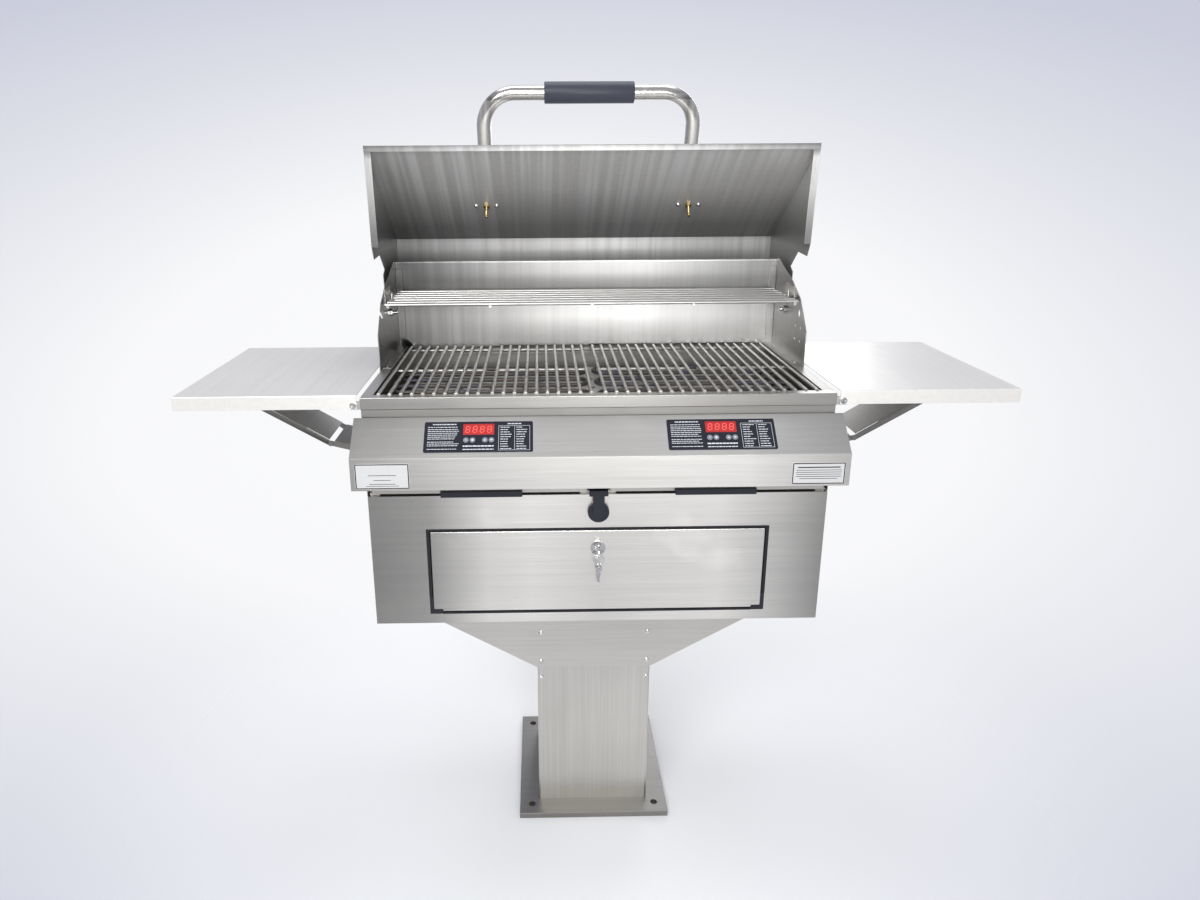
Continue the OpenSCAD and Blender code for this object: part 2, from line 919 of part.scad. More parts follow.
// Firebox: sides down to the cabinet, floor with two drains, ends, top flanges and ledges
module firebox_shell() {
  color(steel) {
    both() {
      span([wall_x - sheet_t, front + rail_step, cabinet_top],
           [wall_x, firebox_rear, rail_z - sheet_t]);
      span([wall_x - flange_w, front + rail_top_d, rail_z - sheet_t],
           [wall_x, firebox_rear - 2 * sheet_t, rail_z]);
    }
    difference() {
      span([-wall_x + sheet_t, front + rail_step, firebox_z],
           [wall_x - sheet_t, firebox_rear, rail_z - sheet_t]);
      span([-wall_x, front + rail_step + sheet_t, firebox_z + sheet_t],
           [wall_x, firebox_rear - sheet_t, rail_z]);
      both() span([element_x - drain_w / 2, -drain_d / 2, firebox_z - over],
                  [element_x + drain_w / 2, drain_d / 2, firebox_z + sheet_t + over]);
    }
    span([-wall_x + sheet_t, front + rail_step + sheet_t, ledge_z - ledge_h],
         [wall_x - sheet_t, front + rail_top_d + ledge_w, ledge_z]);
    span([-wall_x + sheet_t, firebox_rear - 2 * ledge_w, ledge_z - ledge_h],
         [wall_x - sheet_t, firebox_rear - sheet_t, ledge_z]);
  }
}

// Rail along the front of the firebox, turned back to its face below
module front_rail() {
  color(light_steel) {
    side_cut(-wall_x, wall_x, [
      [front, rail_z], [front, rail_z - rail_face_h],
      [front + rail_step, rail_z - rail_face_h - sheet_t],
      [front + rail_step, rail_z - rail_face_h],
      [front + sheet_t, rail_z - rail_face_h + sheet_t],
      [front + sheet_t, rail_z - sheet_t],
      [front + rail_top_d, rail_z - sheet_t], [front + rail_top_d, rail_z]
    ]);
  }
}

// Rear wall above the grates, with a turned top and turned sides
module rear_wall() {
  half = wall_x - sheet_t;
  face = front + firebox_d - sheet_t;
  top = rail_z + rear_wall_h;
  color(light_steel) {
    span([-half, face - sheet_t, ledge_z], [half, face, top]);
    span([-half, face, top - sheet_t], [half, face + ledge_w / 2, top]);
    both() span([half - turn_in, face - 2 * sheet_t, rail_z + rail_top_d],
                [half, face - sheet_t, top - turn_in]);
    for (i = [0 : clip_count - 1]) {
      rod_y((i - (clip_count - 1) / 2) * clip_pitch, rail_z + clip_r, clip_r,
            face - 2 * sheet_t - clip_r / 2, face - sheet_t);
    }
  }
}

// Outline shared by both side walls, with the foot that is turned in at the bottom
module side_wall() {
  top_y = front + firebox_d - 2 * sheet_t;
  difference() {
    union() {
      side_cut(wall_x - sheet_t, wall_x, [
        [front + wall_front, rail_z], [front + wall_front, rail_z + wall_low_h],
        [front + wall_knee_y, rail_z + wall_knee_h], [front + wall_bend_y, rail_z + wall_bend_h],
        [front + wall_top_y, rail_z + wall_top_h], [top_y, rail_z + wall_top_h], [top_y, rail_z]
      ]);
      span([wall_x - sheet_t - turn_in, front + foot_y, rail_z],
           [wall_x - sheet_t, front + firebox_d - 3 * sheet_t, rail_z + sheet_t]);
      translate([wall_x - sheet_t - turn_in / 2, front + foot_y + turn_in / 2, rail_z + sheet_t])
        cylinder(h = screw_head_h, r = screw_head_r);
    }
    rod_x(front + pivot_y, rail_z + pivot_z, pivot_r, wall_x - 2 * sheet_t, wall_x + over);
  }
}

// Left wall with the open slot for a spit
module side_wall_left() {
  color(light_steel) mirror([1, 0, 0]) difference() {
    side_wall();
    translate([0, front + spit_y, rail_z + spit_z]) rotate([spit_tilt, 0, 0])
      span([wall_x - 2 * sheet_t, -wall_front, -slot_w / 2], [wall_x + over, 0, slot_w / 2]);
    rod_x(front + spit_y, rail_z + spit_z, slot_w / 2, wall_x - 2 * sheet_t, wall_x + over);
  }
}
spit_tilt = -30;

// Right wall with the spit hole and the four holes for a spit motor's bracket
module side_wall_right() {
  color(light_steel) difference() {
    side_wall();
    side_cut(wall_x - 2 * sheet_t, wall_x + over, [
      [front + spit_y - spit_half_w, rail_z + spit_z], [front + spit_y, rail_z + spit_z - spit_half_h],
      [front + spit_y + spit_half_w, rail_z + spit_z], [front + spit_y, rail_z + spit_z + spit_half_h]
    ]);
    for (y = [-1, 1]) {
      for (z = [-1, 1]) {
        rod_x(front + motor_y + y * motor_pitch_y / 2, rail_z + motor_z + z * motor_pitch_z / 2,
              motor_hole_r, wall_x - 2 * sheet_t, wall_x + over);
      }
    }
  }
}

// Straight runs of one tubular heating element joined by half turns, with its two cold legs
module element() {
  turn_r = element_pitch / 2;
  run = element_w - element_pitch;
  for (i = [0 : element_runs - 1]) {
    translate([0, i * element_pitch, 0]) {
      rod_x(0, 0, element_r, -run / 2, run / 2);
      if (i < element_runs - 1) {
        side = i % 2 == 0 ? -1 : 1;
        translate([side * run / 2, turn_r, 0]) rotate([0, 0, side * -90])
          rotate_extrude(angle = 180) translate([turn_r, 0]) circle(element_r, $fn = 32);
      }
    }
  }
  for (y = [0, (element_runs - 1) * element_pitch]) {
    translate([run / 2, y, firebox_z + sheet_t - element_z])
      cylinder(h = element_z - firebox_z - sheet_t, r = element_r);
    translate([run / 2, y, 0]) sphere(element_r);
  }
}

element_y = front + (firebox_d - (element_runs - 1) * element_pitch) / 2;
element_z = rail_z - element_drop;
element_x = element_w / 2 + element_mid;

// Two tubular heating elements, one for each controller
module heating_elements() {
  color("#6d6a66") both() translate([element_x, element_y, element_z]) element();
}

shield_z = rail_z - shield_drop;

// Cross bars that carry the elements, on the shield below
module element_brackets() {
  depth = (element_runs - 1) * element_pitch + 4 * element_r;
  y0 = element_y - 2 * element_r;
  color(steel) both() for (x = [-1, 1]) {
    span([element_x + x * element_w / 4 - sheet_t / 2, y0, shield_z + sheet_t],
         [element_x + x * element_w / 4 + sheet_t / 2, y0 + depth, element_z - element_r]);
  }
}

// Perforated shield under the elements on two long feet
module drip_shield() {
  y0 = front + shield_front;
  color(steel) {
    difference() {
      span([-shield_w / 2, y0, shield_z], [shield_w / 2, y0 + shield_d, shield_z + sheet_t]);
      for (i = [0 : shield_holes - 1]) {
        for (j = [0 : shield_rows - 1]) {
          translate([(i - (shield_holes - 1) / 2) * shield_pitch,
                     y0 + shield_d / 2 + (j - (shield_rows - 1) / 2) * shield_pitch,
                     shield_z - over])
            cylinder(h = sheet_t + 2 * over, r = shield_hole_r, $fn = 32);
        }
      }
    }
    for (y = [y0, y0 + shield_d - sheet_t]) {
      span([-shield_w / 2, y, firebox_z + sheet_t], [shield_w / 2, y + sheet_t, shield_z]);
    }
  }
}

// One cooking grate: bars along the depth on cross rods
module grate() {
  z = rail_z + bar_lift - bar_r;
  y0 = front + rail_top_d + hair;
  y1 = firebox_rear - bar_rear;
  half = (bars - 1) * bar_pitch / 2;
  for (i = [0 : bars - 1]) {
    rod_y(i * bar_pitch - half, z, bar_r, y0, y1);
  }
  for (j = [0 : grate_rods - 1]) {
    rod_x(y0 + rod_inset + j * (y1 - y0 - 2 * rod_inset) / (grate_rods - 1),
          z - bar_dia + cross_sink, bar_r, -half - bar_r, half + bar_r);
  }
}

// Four cooking grates side by side
module cooking_grates() {
  color(light_steel) for (k = [0 : 3]) {
    translate([(k - 3 / 2) * grate_pitch, 0, 0]) grate();
  }
}

// Warming rack of long rods tied underneath, with hooked end wires
module warming_rack() {
  z = rail_z + rack_z;
  y0 = front + rack_front;
  step = (rack_rear - rack_front) / (rack_rods - 1);
  color(light_steel) {
    for (i = [0 : rack_rods - 1]) {
      rod_x(y0 + i * step, z, rack_rod_r, -rack_w / 2, rack_w / 2);
    }
    for (i = [0 : rack_ties - 1]) {
      rod_y((i / (rack_ties - 1) - 1 / 2) * (rack_w - 4 * rack_rod_r), z - rack_rod_r - cross_sink,
            rack_rod_r, y0 - rack_rod_r, y0 + step * (rack_rods - 1) + rack_rod_r);
    }
    both() translate([rack_w / 2 - 2 * rack_rod_r, front + rack_bracket_y, z - rack_rod_r])
      cylinder(h = rack_hook_h + rack_rod_r, r = rack_rod_r);
  }
}

// Brackets on the side walls that the rack's end wires lie on
module rack_brackets() {
  y0 = front + rack_bracket_y + 2 * rack_rod_r;
  z0 = rail_z + rack_z - 2 * rack_rod_r - cross_sink - sheet_t;
  x1 = wall_x - sheet_t;
  color(steel) both() {
    span([x1 - sheet_t, y0, z0], [x1, y0 + rack_bracket_d, z0 + rack_bracket_h]);
    span([x1 - rack_lip, y0, z0], [x1, y0 + rack_bracket_d, z0 + sheet_t]);
  }
}

// Bolts that the lid turns on, with their nuts and spacers
module lid_pivot_bolts() {
  y = front + pivot_y;
  z = rail_z + pivot_z;
  x_in = wall_x - sheet_t;
  color(steel) both() {
    rod_x(y, z, pivot_r, x_in - pivot_stem, lid_w / 2 + hair);
    rod_x(y, z, pivot_head_r, lid_w / 2 + hair, lid_w / 2 + hair + pivot_head_h);
    translate([x_in - pivot_head_h, y, z]) rotate([0, 90, 0])
      cylinder(h = pivot_head_h, r = pivot_head_r, $fn = 6);
    rod_x(y, z, pivot_head_r, wall_x, lid_w / 2 - sheet_t - hair);
  }
}

// Turns the shut lid to its open rest place
module lid_open() {
  translate([0, front + pivot_y, rail_z + pivot_z]) rotate([-lid_swing, 0, 0])
    translate([0, -front - pivot_y, -rail_z - pivot_z]) children();
}

// Corners of the shut lid
rim = [front + rim_y, rail_z + rim_z];
crown = [rim[0] + lid_face * cos(face_angle), rim[1] + lid_face * sin(face_angle)];
crown_rear = [front + lid_top_y, crown[1]];
tail = [front + lid_rear_y, rail_z + lid_rear_z];
pivot = [front + pivot_y, rail_z + pivot_z];

// Bent skin of the lid: front face, top, rear slope and front lip
module lid_skin() {
  t = sheet_t;
  half = lid_w / 2 - sheet_t;
  inset = t * (1 + cos(face_angle)) / sin(face_angle);
  tail_run = tail - crown_rear;
  m = [-tail_run[1], tail_run[0]] / norm(tail_run) * t;
  color(steel) lid_open() {
    side_cut(-half, half, [
      rim, crown, crown_rear, tail, tail - m,
      [crown_rear[0] - t / 2, crown_rear[1] - t],
      [crown[0] + t * tan(face_angle / 2), crown[1] - t],
      [rim[0] + inset, rim[1] + t], [rim[0] + rim_lip, rim[1] + t], [rim[0] + rim_lip, rim[1]]
    ]);
  }
}

// Side panels of the lid with their lips and pivot lobes
module lid_ends() {
  x1 = lid_w / 2;
  color(steel) lid_open() both() difference() {
    union() {
      side_cut(x1 - sheet_t, x1, [
        rim, crown, crown_rear, tail,
        [pivot[0] + lobe_r, pivot[1] - lobe_r / 4],
        [pivot[0], pivot[1] - lobe_r / 2],
        [pivot[0] - lobe_r, pivot[1] + lobe_r / 2],
        [front + heel_y, rail_z + heel_z], [front + throat_y, rail_z + throat_z],
        [front + tab_y, rail_z + tab_top_z], [front + tab_y, rail_z + tab_z],
        [front + rim_rear_y, rail_z + rim_rear_z]
      ]);
      rod_x(pivot[0], pivot[1], lobe_r, x1 - sheet_t, x1);
      side_cut(x1 - side_lip, x1 - sheet_t / 2, [
        [rim[0] + rim_lip, rim[1]], [rim[0] + rim_lip, rim[1] + sheet_t],
        [front + rim_rear_y, rail_z + rim_rear_z + sheet_t], [front + rim_rear_y, rail_z + rim_rear_z]
      ]);
    }
    rod_x(pivot[0], pivot[1], pivot_r + fit, x1 - 2 * sheet_t, x1 + over);
  }
}

// Handle feet on the outside of the open lid's face, and the way that it faces
face_open = face_angle - lid_swing;
foot_closed = rim + foot_up * [cos(face_angle), sin(face_angle)];
foot_open = pivot + turn_point(foot_closed - pivot, -lid_swing);
function turn_point(p, a) = [p[0] * cos(a) - p[1] * sin(a), p[0] * sin(a) + p[1] * cos(a)];
out_open = face_open + 90;
stub_end = foot_open + standoff * [cos(out_open), sin(out_open)];
grip_point = [front + grip_y, rail_z + grip_z];
leg_run = grip_point - stub_end;
leg_angle = atan2(leg_run[1], leg_run[0]);
bend_angle = leg_angle - out_open;
bend_cut = on_grid(bend_r * tan(bend_angle / 2));
leg_len = on_grid(norm(leg_run));
function on_grid(length) = round(length / lap) * lap;

// Straight length of the handle's tube, along z
module tube_run(length) {
  difference() {
    cylinder(h = length, r = handle_r);
    cylinder(h = length, r = handle_r - sheet_t);
  }
}

// Bent length of the handle's tube, round z
module tube_bend(radius, turn) {
  difference() {
    rotate_extrude(angle = turn) translate([radius, 0]) circle(handle_r, $fn = 48);
    rotate_extrude(angle = turn) translate([radius, 0]) circle(handle_r - sheet_t, $fn = 48);
  }
}

// Weld bead over the joint of two lengths of the tube, across the plane z = 0
module tube_bead() {
  translate([0, 0, -sheet_t]) difference() {
    cylinder(h = 2 * sheet_t, r = handle_r + hair);
    cylinder(h = 2 * sheet_t, r = handle_r - sheet_t - hair);
  }
}

// Hollow tubular handle: on each side a flat foot, stub, bend, leg, corner and half the bar
module handle_tube() {
  color(light_steel) both() {
    translate([handle_span / 2, foot_open[0], foot_open[1]]) rotate([out_open, 0, 0]) {
      rotate([-90, 0, 0]) tube_run(standoff - bend_cut);
      rotate([-90, 0, 0]) difference() {
        linear_extrude(foot_t) round_rect(dome_pitch + 2 * dome_r + foot_t, 2 * foot_r, foot_r / 2);
        translate([0, 0, -over]) cylinder(h = foot_t + 2 * over, r = handle_r - sheet_t);
      }
      translate([0, standoff - bend_cut, 0]) rotate([90, 0, 90]) translate([0, bend_r, 0])
        rotate([0, 0, -90]) tube_bend(bend_r, bend_angle);
    }
    translate([0, stub_end[0], stub_end[1]]) rotate([leg_angle, 0, 0]) {
      translate([handle_span / 2, bend_cut, 0]) rotate([-90, 0, 0]) tube_bead();
      translate([handle_span / 2, bend_cut + hair, 0]) rotate([-90, 0, 0])
        tube_run(leg_len - bend_cut - hair - corner_r);
      translate([handle_span / 2 - corner_r, leg_len - corner_r, 0])
        tube_bend(corner_r, 90);
      translate([0, leg_len, 0]) rotate([0, 90, 0])
        tube_run(handle_span / 2 - corner_r);
    }
  }
}

// Black sleeve on the handle
module handle_grip() {
  color(dark) translate([0, stub_end[0], stub_end[1]]) rotate([leg_angle, 0, 0])
    translate([-grip_len / 2, leg_len, 0]) rotate([0, 90, 0]) difference() {
      cylinder(h = grip_len, r = handle_r + grip_t);
      translate([0, 0, -over]) cylinder(h = grip_len + 2 * over, r = handle_r);
    }
}

// Studs with brass nuts and the dome nuts beside them, inside the lid's face
module handle_studs() {
  color("#b08a45") both() translate([handle_span / 2, foot_open[0], foot_open[1]])
    rotate([out_open + 90, 0, 0]) translate([0, 0, sheet_t]) {
      cylinder(h = nut_h, r = nut_r, $fn = 6);
      cylinder(h = stud_len, r = stud_r);
      for (x = [-dome_pitch / 2, dome_pitch / 2]) {
        translate([x, 0, 0]) {
          cylinder(h = nut_h / 2, r = dome_r);
          translate([0, 0, nut_h / 2]) cylinder(h = nut_h / 2, r = dome_r / 2);
        }
      }
    }
}

shelf_pivot = [shelf_pivot_x, rail_z - shelf_pivot_drop];
shelf_z = rail_z + shelf_top;
shelf_front = front + shelf_inset;
shelf_rear = shelf_front + shelf_d;
brace_front = shelf_front + (shelf_d - brace_w) / 2;
brace_rear = brace_front + brace_w;

// Right side shelf: pan with three flanges, pivot holes and the ears for its brace
module shelf() {
  x0 = shelf_pivot_x - shelf_end_gap;
  x1 = x0 + shelf_w;
  strut_z = rail_z - strut_drop;
  color(light_steel) difference() {
    union() {
      difference() {
        span([x0, shelf_front, shelf_z - shelf_flange], [x1, shelf_rear, shelf_z]);
        span([x0 - over, shelf_front + sheet_t, shelf_z - shelf_flange - over],
             [x1 - sheet_t, shelf_rear - sheet_t, shelf_z - sheet_t]);
      }
      for (y = [brace_front - hair - ear_t, brace_rear + hair]) {
        span([strut_x - ear_w / 2, y, strut_z - link_half],
             [strut_x + ear_w / 2, y + ear_t, shelf_z - sheet_t]);
      }
    }
    rod_y(shelf_pivot_x, shelf_pivot[1], shelf_pin_r + fit, shelf_front - over, shelf_rear + over);
    rod_y(strut_x, strut_z, shelf_pin_r + fit, brace_front - 2 * ear_t, brace_rear + 2 * ear_t);
  }
}

module shelf_left() { mirror([1, 0, 0]) shelf(); }
module shelf_right() { shelf(); }

// Brackets on the firebox sides: shelf ears above, brace ears below
module shelf_brackets() {
  ear_y = [shelf_front + sheet_t + hair, shelf_rear - sheet_t - hair - ear_t];
  lug_y = [brace_front + 2 * link_t + 2 * hair, brace_rear - 2 * link_t - 2 * hair - ear_t];
  low = rail_z - anchor_drop;
  color(steel) both() difference() {
    union() {
      span([wall_x, ear_y[0], shelf_pivot[1] - ear_h / 2],
           [wall_x + ear_t, ear_y[1] + ear_t, shelf_pivot[1] + ear_h / 2]);
      for (y = ear_y) {
        span([wall_x, y, shelf_pivot[1] - ear_h / 2],
             [shelf_pivot_x + ear_h / 2 - ear_t, y + ear_t, shelf_pivot[1] + ear_h / 2 - ear_t]);
      }
      for (y = lug_y) {
        span([wall_x, y, low - link_half], [anchor_x + link_half, y + ear_t, low + link_half]);
      }
      span([wall_x, lug_y[0], low - link_half - ear_t],
           [wall_x + ear_t, lug_y[1] + ear_t, low + link_half]);
    }
    rod_y(shelf_pivot_x, shelf_pivot[1], shelf_pin_r, shelf_front, shelf_rear);
    rod_y(anchor_x, low, shelf_pin_r, brace_front, brace_rear);
  }
}

// Screws that the shelves turn on, and the pins of the lower links
module shelf_pivot_screws() {
  low = rail_z - anchor_drop;
  color(light_steel) both() {
    for (turn = [0, 1]) {
      y_head = turn == 0 ? shelf_front - shelf_head_h - hair : shelf_rear + hair;
      y_in = turn == 0 ? shelf_front - hair : shelf_rear - sheet_t - hair - ear_t;
      difference() {
        union() {
          rod_y(shelf_pivot_x, shelf_pivot[1], shelf_head_r, y_head, y_head + shelf_head_h);
          rod_y(shelf_pivot_x, shelf_pivot[1], shelf_pin_r, y_in, y_in + sheet_t + ear_t + 2 * hair);
        }
        translate([shelf_pivot_x, turn == 0 ? y_head : y_head + shelf_head_h, shelf_pivot[1]])
          rotate([90, 0, 0]) cylinder(h = shelf_head_h, r = shelf_pin_r, center = true, $fn = 6);
      }
    }
    rod_y(anchor_x, low, shelf_pin_r, brace_front + link_t + hair,
          brace_front + 2 * link_t + 2 * hair + ear_t);
    rod_y(anchor_x, low, shelf_pin_r, brace_rear - 2 * link_t - 2 * hair - ear_t,
          brace_rear - link_t - hair);
  }
}

knee = [knee_x, rail_z - knee_drop];
strut = [strut_x, rail_z - strut_drop];
anchor = [anchor_x, rail_z - anchor_drop];

// Flat arm with round ends between two points of the width-height plane
module arm(a, b, r_a, r_b, y0) {
  run = b - a;
  along = atan2(run[1], run[0]);
  translate([a[0], y0 + link_t, a[1]]) rotate([90, -along, 0]) linear_extrude(link_t) {
    circle(r_a);
    translate([norm(run), 0]) circle(r_b);
    polygon([[0, -r_a], [norm(run), -r_b], [norm(run), r_b], [0, r_a]]);
  }
}

// Web along the top of a link, left open at both ends
module web(a, b, skip_a, skip_b, y0, y1) {
  run = b - a;
  along = atan2(run[1], run[0]);
  translate([a[0], y1, a[1]]) rotate([90, -along, 0]) linear_extrude(y1 - y0)
    polygon([[skip_a, link_half - link_t], [norm(run) - skip_b, link_half - link_t],
             [norm(run) - skip_b, link_half], [skip_a, link_half]]);
}

// Upper link of the right brace: wide channel, with its pins at the shelf and the knee
module upper_link() {
  color(steel) {
    for (y = [brace_front, brace_rear - link_t]) {
      arm(knee, strut, link_end_r, link_half, y);
    }
    web(knee, strut, knee_open, anchor_open, brace_front + link_t, brace_rear - link_t);
    for (y = [brace_front - hair - 2 * ear_t, brace_rear - link_t]) {
      rod_y(strut[0], strut[1], shelf_pin_r, y, y + link_t + 2 * ear_t + hair);
    }
    for (y = [brace_front - ear_t, brace_rear]) {
      rod_y(knee[0], knee[1], knee_head_r, y, y + ear_t);
    }
  }
}

// Lower link of the right brace: narrower channel that turns on the firebox side
module lower_link() {
  color(steel) difference() {
    union() {
      for (y = [brace_front + link_t + hair, brace_rear - 2 * link_t - hair]) {
        arm(knee, anchor, link_end_r, link_half, y);
      }
      web(anchor, knee, anchor_open, knee_end, brace_front + 2 * link_t,
          brace_rear - 2 * link_t);
    }
    rod_y(anchor[0], anchor[1], shelf_pin_r + fit, brace_front, brace_rear);
  }
}

module brace_upper_left() { mirror([1, 0, 0]) upper_link(); }
module brace_upper_right() { upper_link(); }
module brace_lower_left() { mirror([1, 0, 0]) lower_link(); }
module brace_lower_right() { lower_link(); }

base_plate();
column_shell();
saddle_front();
saddle_shell();
panel_screws();
cabinet_shell();
cabinet_front();
door_seal();
door_hinge_blocks();
latch_base();
tray_runners();
console_shell();
control_overlays();
displays();
controller_boxes();
terminal_block();
cable_gland();
firebox_shell();
front_rail();
rear_wall();
side_wall_left();
side_wall_right();
heating_elements();
element_brackets();
drip_shield();
cooking_grates();
warming_rack();
rack_brackets();
lid_pivot_bolts();
nameplates();
shelf_brackets();
shelf_pivot_screws();
lid_skin();
lid_ends();
handle_tube();
handle_grip();
handle_studs();
shelf_left();
shelf_right();
brace_upper_left();
brace_upper_right();
brace_lower_left();
brace_lower_right();
door();
lock_barrel();
door_key();
key_ring();
latch_lever();
grease_tray_left();
grease_tray_right();
tray_grip_left();
tray_grip_right();
button_left_on();
button_left_off();
button_left_up();
button_left_down();
button_right_on();
button_right_off();
button_right_up();
button_right_down();
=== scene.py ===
"""Looks of a pedestal electric grill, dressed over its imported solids.

Metres. The cook stands on the -Y side, +Z is up and the origin is on the floor.
"""

import json
import logging
import math
import random
from dataclasses import dataclass
from enum import Enum
from typing import Any, Callable, Sequence

import bmesh
import bpy
from mathutils import Matrix, Vector


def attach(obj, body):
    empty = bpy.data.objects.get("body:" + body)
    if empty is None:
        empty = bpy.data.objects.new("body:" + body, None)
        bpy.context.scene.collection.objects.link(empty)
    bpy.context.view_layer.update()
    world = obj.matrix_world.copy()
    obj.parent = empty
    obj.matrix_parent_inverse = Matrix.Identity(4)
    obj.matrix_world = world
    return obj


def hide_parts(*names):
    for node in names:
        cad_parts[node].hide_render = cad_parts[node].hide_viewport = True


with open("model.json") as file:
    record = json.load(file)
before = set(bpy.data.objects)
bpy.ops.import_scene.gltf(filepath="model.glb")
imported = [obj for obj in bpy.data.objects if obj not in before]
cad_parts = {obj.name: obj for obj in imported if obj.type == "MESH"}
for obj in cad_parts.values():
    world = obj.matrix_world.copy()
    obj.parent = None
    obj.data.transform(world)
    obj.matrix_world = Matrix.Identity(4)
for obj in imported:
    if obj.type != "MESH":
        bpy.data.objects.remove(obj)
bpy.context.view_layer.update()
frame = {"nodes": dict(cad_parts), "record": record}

MM = 0.001
SAME_SPOT = 2e-6
FLAT = math.radians(0.4)
BEND_ANGLE = math.radians(30)
SHORT_EDGE = 2 * MM
INNER_BEND = 0.3 * MM
EDGE_PARTS = 3
FACE_PARTS = 4
FORM_SHARP, SOLID_SHARP, PIPE_SHARP = 30.0, 35.0, 40.0
RECESS_FLOOR = 0.4
SIXTH = math.tau / 6
SKIP_TO_COLOURS = (None,) * 5
SIDES = ((-1, "left"), (1, "right"))

Colour = tuple[float, float, float]
Point = tuple[float, float, float]
Spot = tuple[Point, Point]
Profile = Sequence[tuple[float, float]]
Row = tuple[float, ...]
BMesh = bmesh.types.BMesh
# Painted light: for each axis, factors that paint reflection and shade into a base colour.
PaintedLight = tuple[tuple[int, tuple[tuple[float, float], ...]], ...]
LOG = logging.getLogger("grill")


class Grain(Enum):
    """Direction in which a sheet was brushed, as the noise scale along x, y and z."""

    ACROSS = (5.0, 900.0, 900.0)
    DEEP = (900.0, 5.0, 900.0)
    UPRIGHT = (900.0, 900.0, 5.0)
    EVEN = (260.0, 260.0, 260.0)


class Wire:
    """A socket of a node tree that Python's operators work on."""

    def __init__(self, tree: "Tree", socket: bpy.types.NodeSocket | None) -> None:
        """Keeps the socket with the tree that it belongs to."""
        self.tree = tree
        self.socket = socket

    def math(self, operation: str, other: Any) -> "Wire":
        """Joins the wire and a second term by a Math node."""
        return self.tree.node("ShaderNodeMath", {"operation": operation}, self, other)

    def __add__(self, other: Any) -> "Wire":
        """Sum."""
        return self.math("ADD", other)

    def __sub__(self, other: Any) -> "Wire":
        """Difference."""
        return self.math("SUBTRACT", other)

    def __mul__(self, other: Any) -> "Wire":
        """Product."""
        return self.math("MULTIPLY", other)

    def ramp(self, low: float, high: float) -> "Wire":
        """Smooth step from 0 at low to 1 at high."""
        return self.tree.node("ShaderNodeMapRange", {"interpolation_type": "SMOOTHSTEP"},
                              self, low, high, 0.0, 1.0)


class Tree:
    """A node tree that grows by one call for each node."""

    def __init__(self, tree: bpy.types.NodeTree) -> None:
        """Takes a tree and empties it."""
        self.tree = tree
        tree.nodes.clear()

    def node(self, kind: str, settings: dict[str, Any], *inputs: Any, out: Any = 0,
             **named: Any) -> Wire:
        """Adds a node.

        Args:
            kind: The node's type.
            settings: Its own settings; "stops" are the stops of a colour ramp.
            inputs: Values or wires of its first sockets, None to leave one as it is.
            out: Index or name of the output that is returned.
            named: Values or wires of sockets by name, with _ for a space.

        Returns:
            The wire of that output.
        """
        made = self.tree.nodes.new(kind)
        for key, value in settings.items():
            if key == "stops":
                ramp = made.color_ramp
                while len(ramp.elements) < len(value):
                    ramp.elements.new(0.5)
                for element, (place, colour) in zip(ramp.elements, value):
                    element.position, element.color = place, (*colour, 1.0)
            else:
                setattr(made, key, value)
        pairs = [(made.inputs[i], v) for i, v in enumerate(inputs)]
        pairs += [(made.inputs[k.replace("_", " ")], v) for k, v in named.items()]
        for socket, value in pairs:
            if isinstance(value, Wire):
                self.tree.links.new(value.socket, socket)
            elif value is not None:
                short = socket.type == "RGBA" and len(value) == 3
                socket.default_value = (*value, 1.0) if short else value
        return Wire(self, made.outputs[out] if made.outputs else None)


class Shader(Tree):
    """The nodes that make a material's finish, or the world's light."""

    def __init__(self, owner: bpy.types.ID, place: str = "Object") -> None:
        """Empties the owner's tree and adds the coordinates that its noise uses."""
        owner.use_nodes = True
        super().__init__(owner.node_tree)
        self.owner = owner
        self.place = self.node("ShaderNodeTexCoord", {}, out=place)

    def noise(self, scale: Sequence[float], detail: float = 3.0, shift: float = 0.0,
              keep: tuple[float, float] | None = None) -> Wire:
        """Noise on the owner's own coordinates.

        Args:
            scale: Stretch along each axis.
            detail: Octaves of the noise.
            shift: Offset that tells one layer from another.
            keep: Range that a smooth step cuts out of it, or None.

        Returns:
            The noise between 0 and 1.
        """
        spot = self.node("ShaderNodeMapping", {}, self.place, (shift, shift, shift), None, tuple(scale))
        made = self.node("ShaderNodeTexNoise", {}, Vector=spot, Scale=1.0, Detail=detail)
        return made.ramp(*keep) if keep else made

    def blend(self, mask: Any, first: Any, second: Any, mode: str = "MIX") -> Wire:
        """Mixes two colours by a mask."""
        return self.node("ShaderNodeMix", {"data_type": "RGBA", "blend_type": mode},
                         mask, *SKIP_TO_COLOURS, first, second, out=2)

    def bump(self, height: Wire, strength: float, distance: float) -> Wire:
        """Turns a height into a normal."""
        return self.node("ShaderNodeBump", {}, Strength=strength, Distance=distance, Height=height)

    def shade(self, colour: Wire, painted_light: PaintedLight) -> Wire:
        """Paints reflection and shade into a colour by a factor that changes along one or more axes.

        Args:
            colour: The colour that is shaded.
            painted_light: Painted reflection and shade, as each axis's number and pairs of place in metres
                and factor.

        Returns:
            The shaded colour.
        """
        for axis, stops in painted_light:
            low, high = stops[0][0], stops[-1][0]
            along = self.node("ShaderNodeSeparateXYZ", {}, self.place, out=axis)
            share = self.node("ShaderNodeMapRange", {}, along, low, high, 0.0, 1.0)
            grey = self.node("ShaderNodeValToRGB", {"stops": [
                ((at - low) / (high - low), (v, v, v)) for at, v in stops]}, share)
            colour = self.blend(1.0, colour, grey, "MULTIPLY")
        return colour

    def surface(self, **sockets: Any) -> bpy.types.Material:
        """Ends the tree in one Principled shader with these sockets and returns the material."""
        made = self.node("ShaderNodeBsdfPrincipled", {}, **sockets)
        self.node("ShaderNodeOutputMaterial", {}, made)
        return self.owner


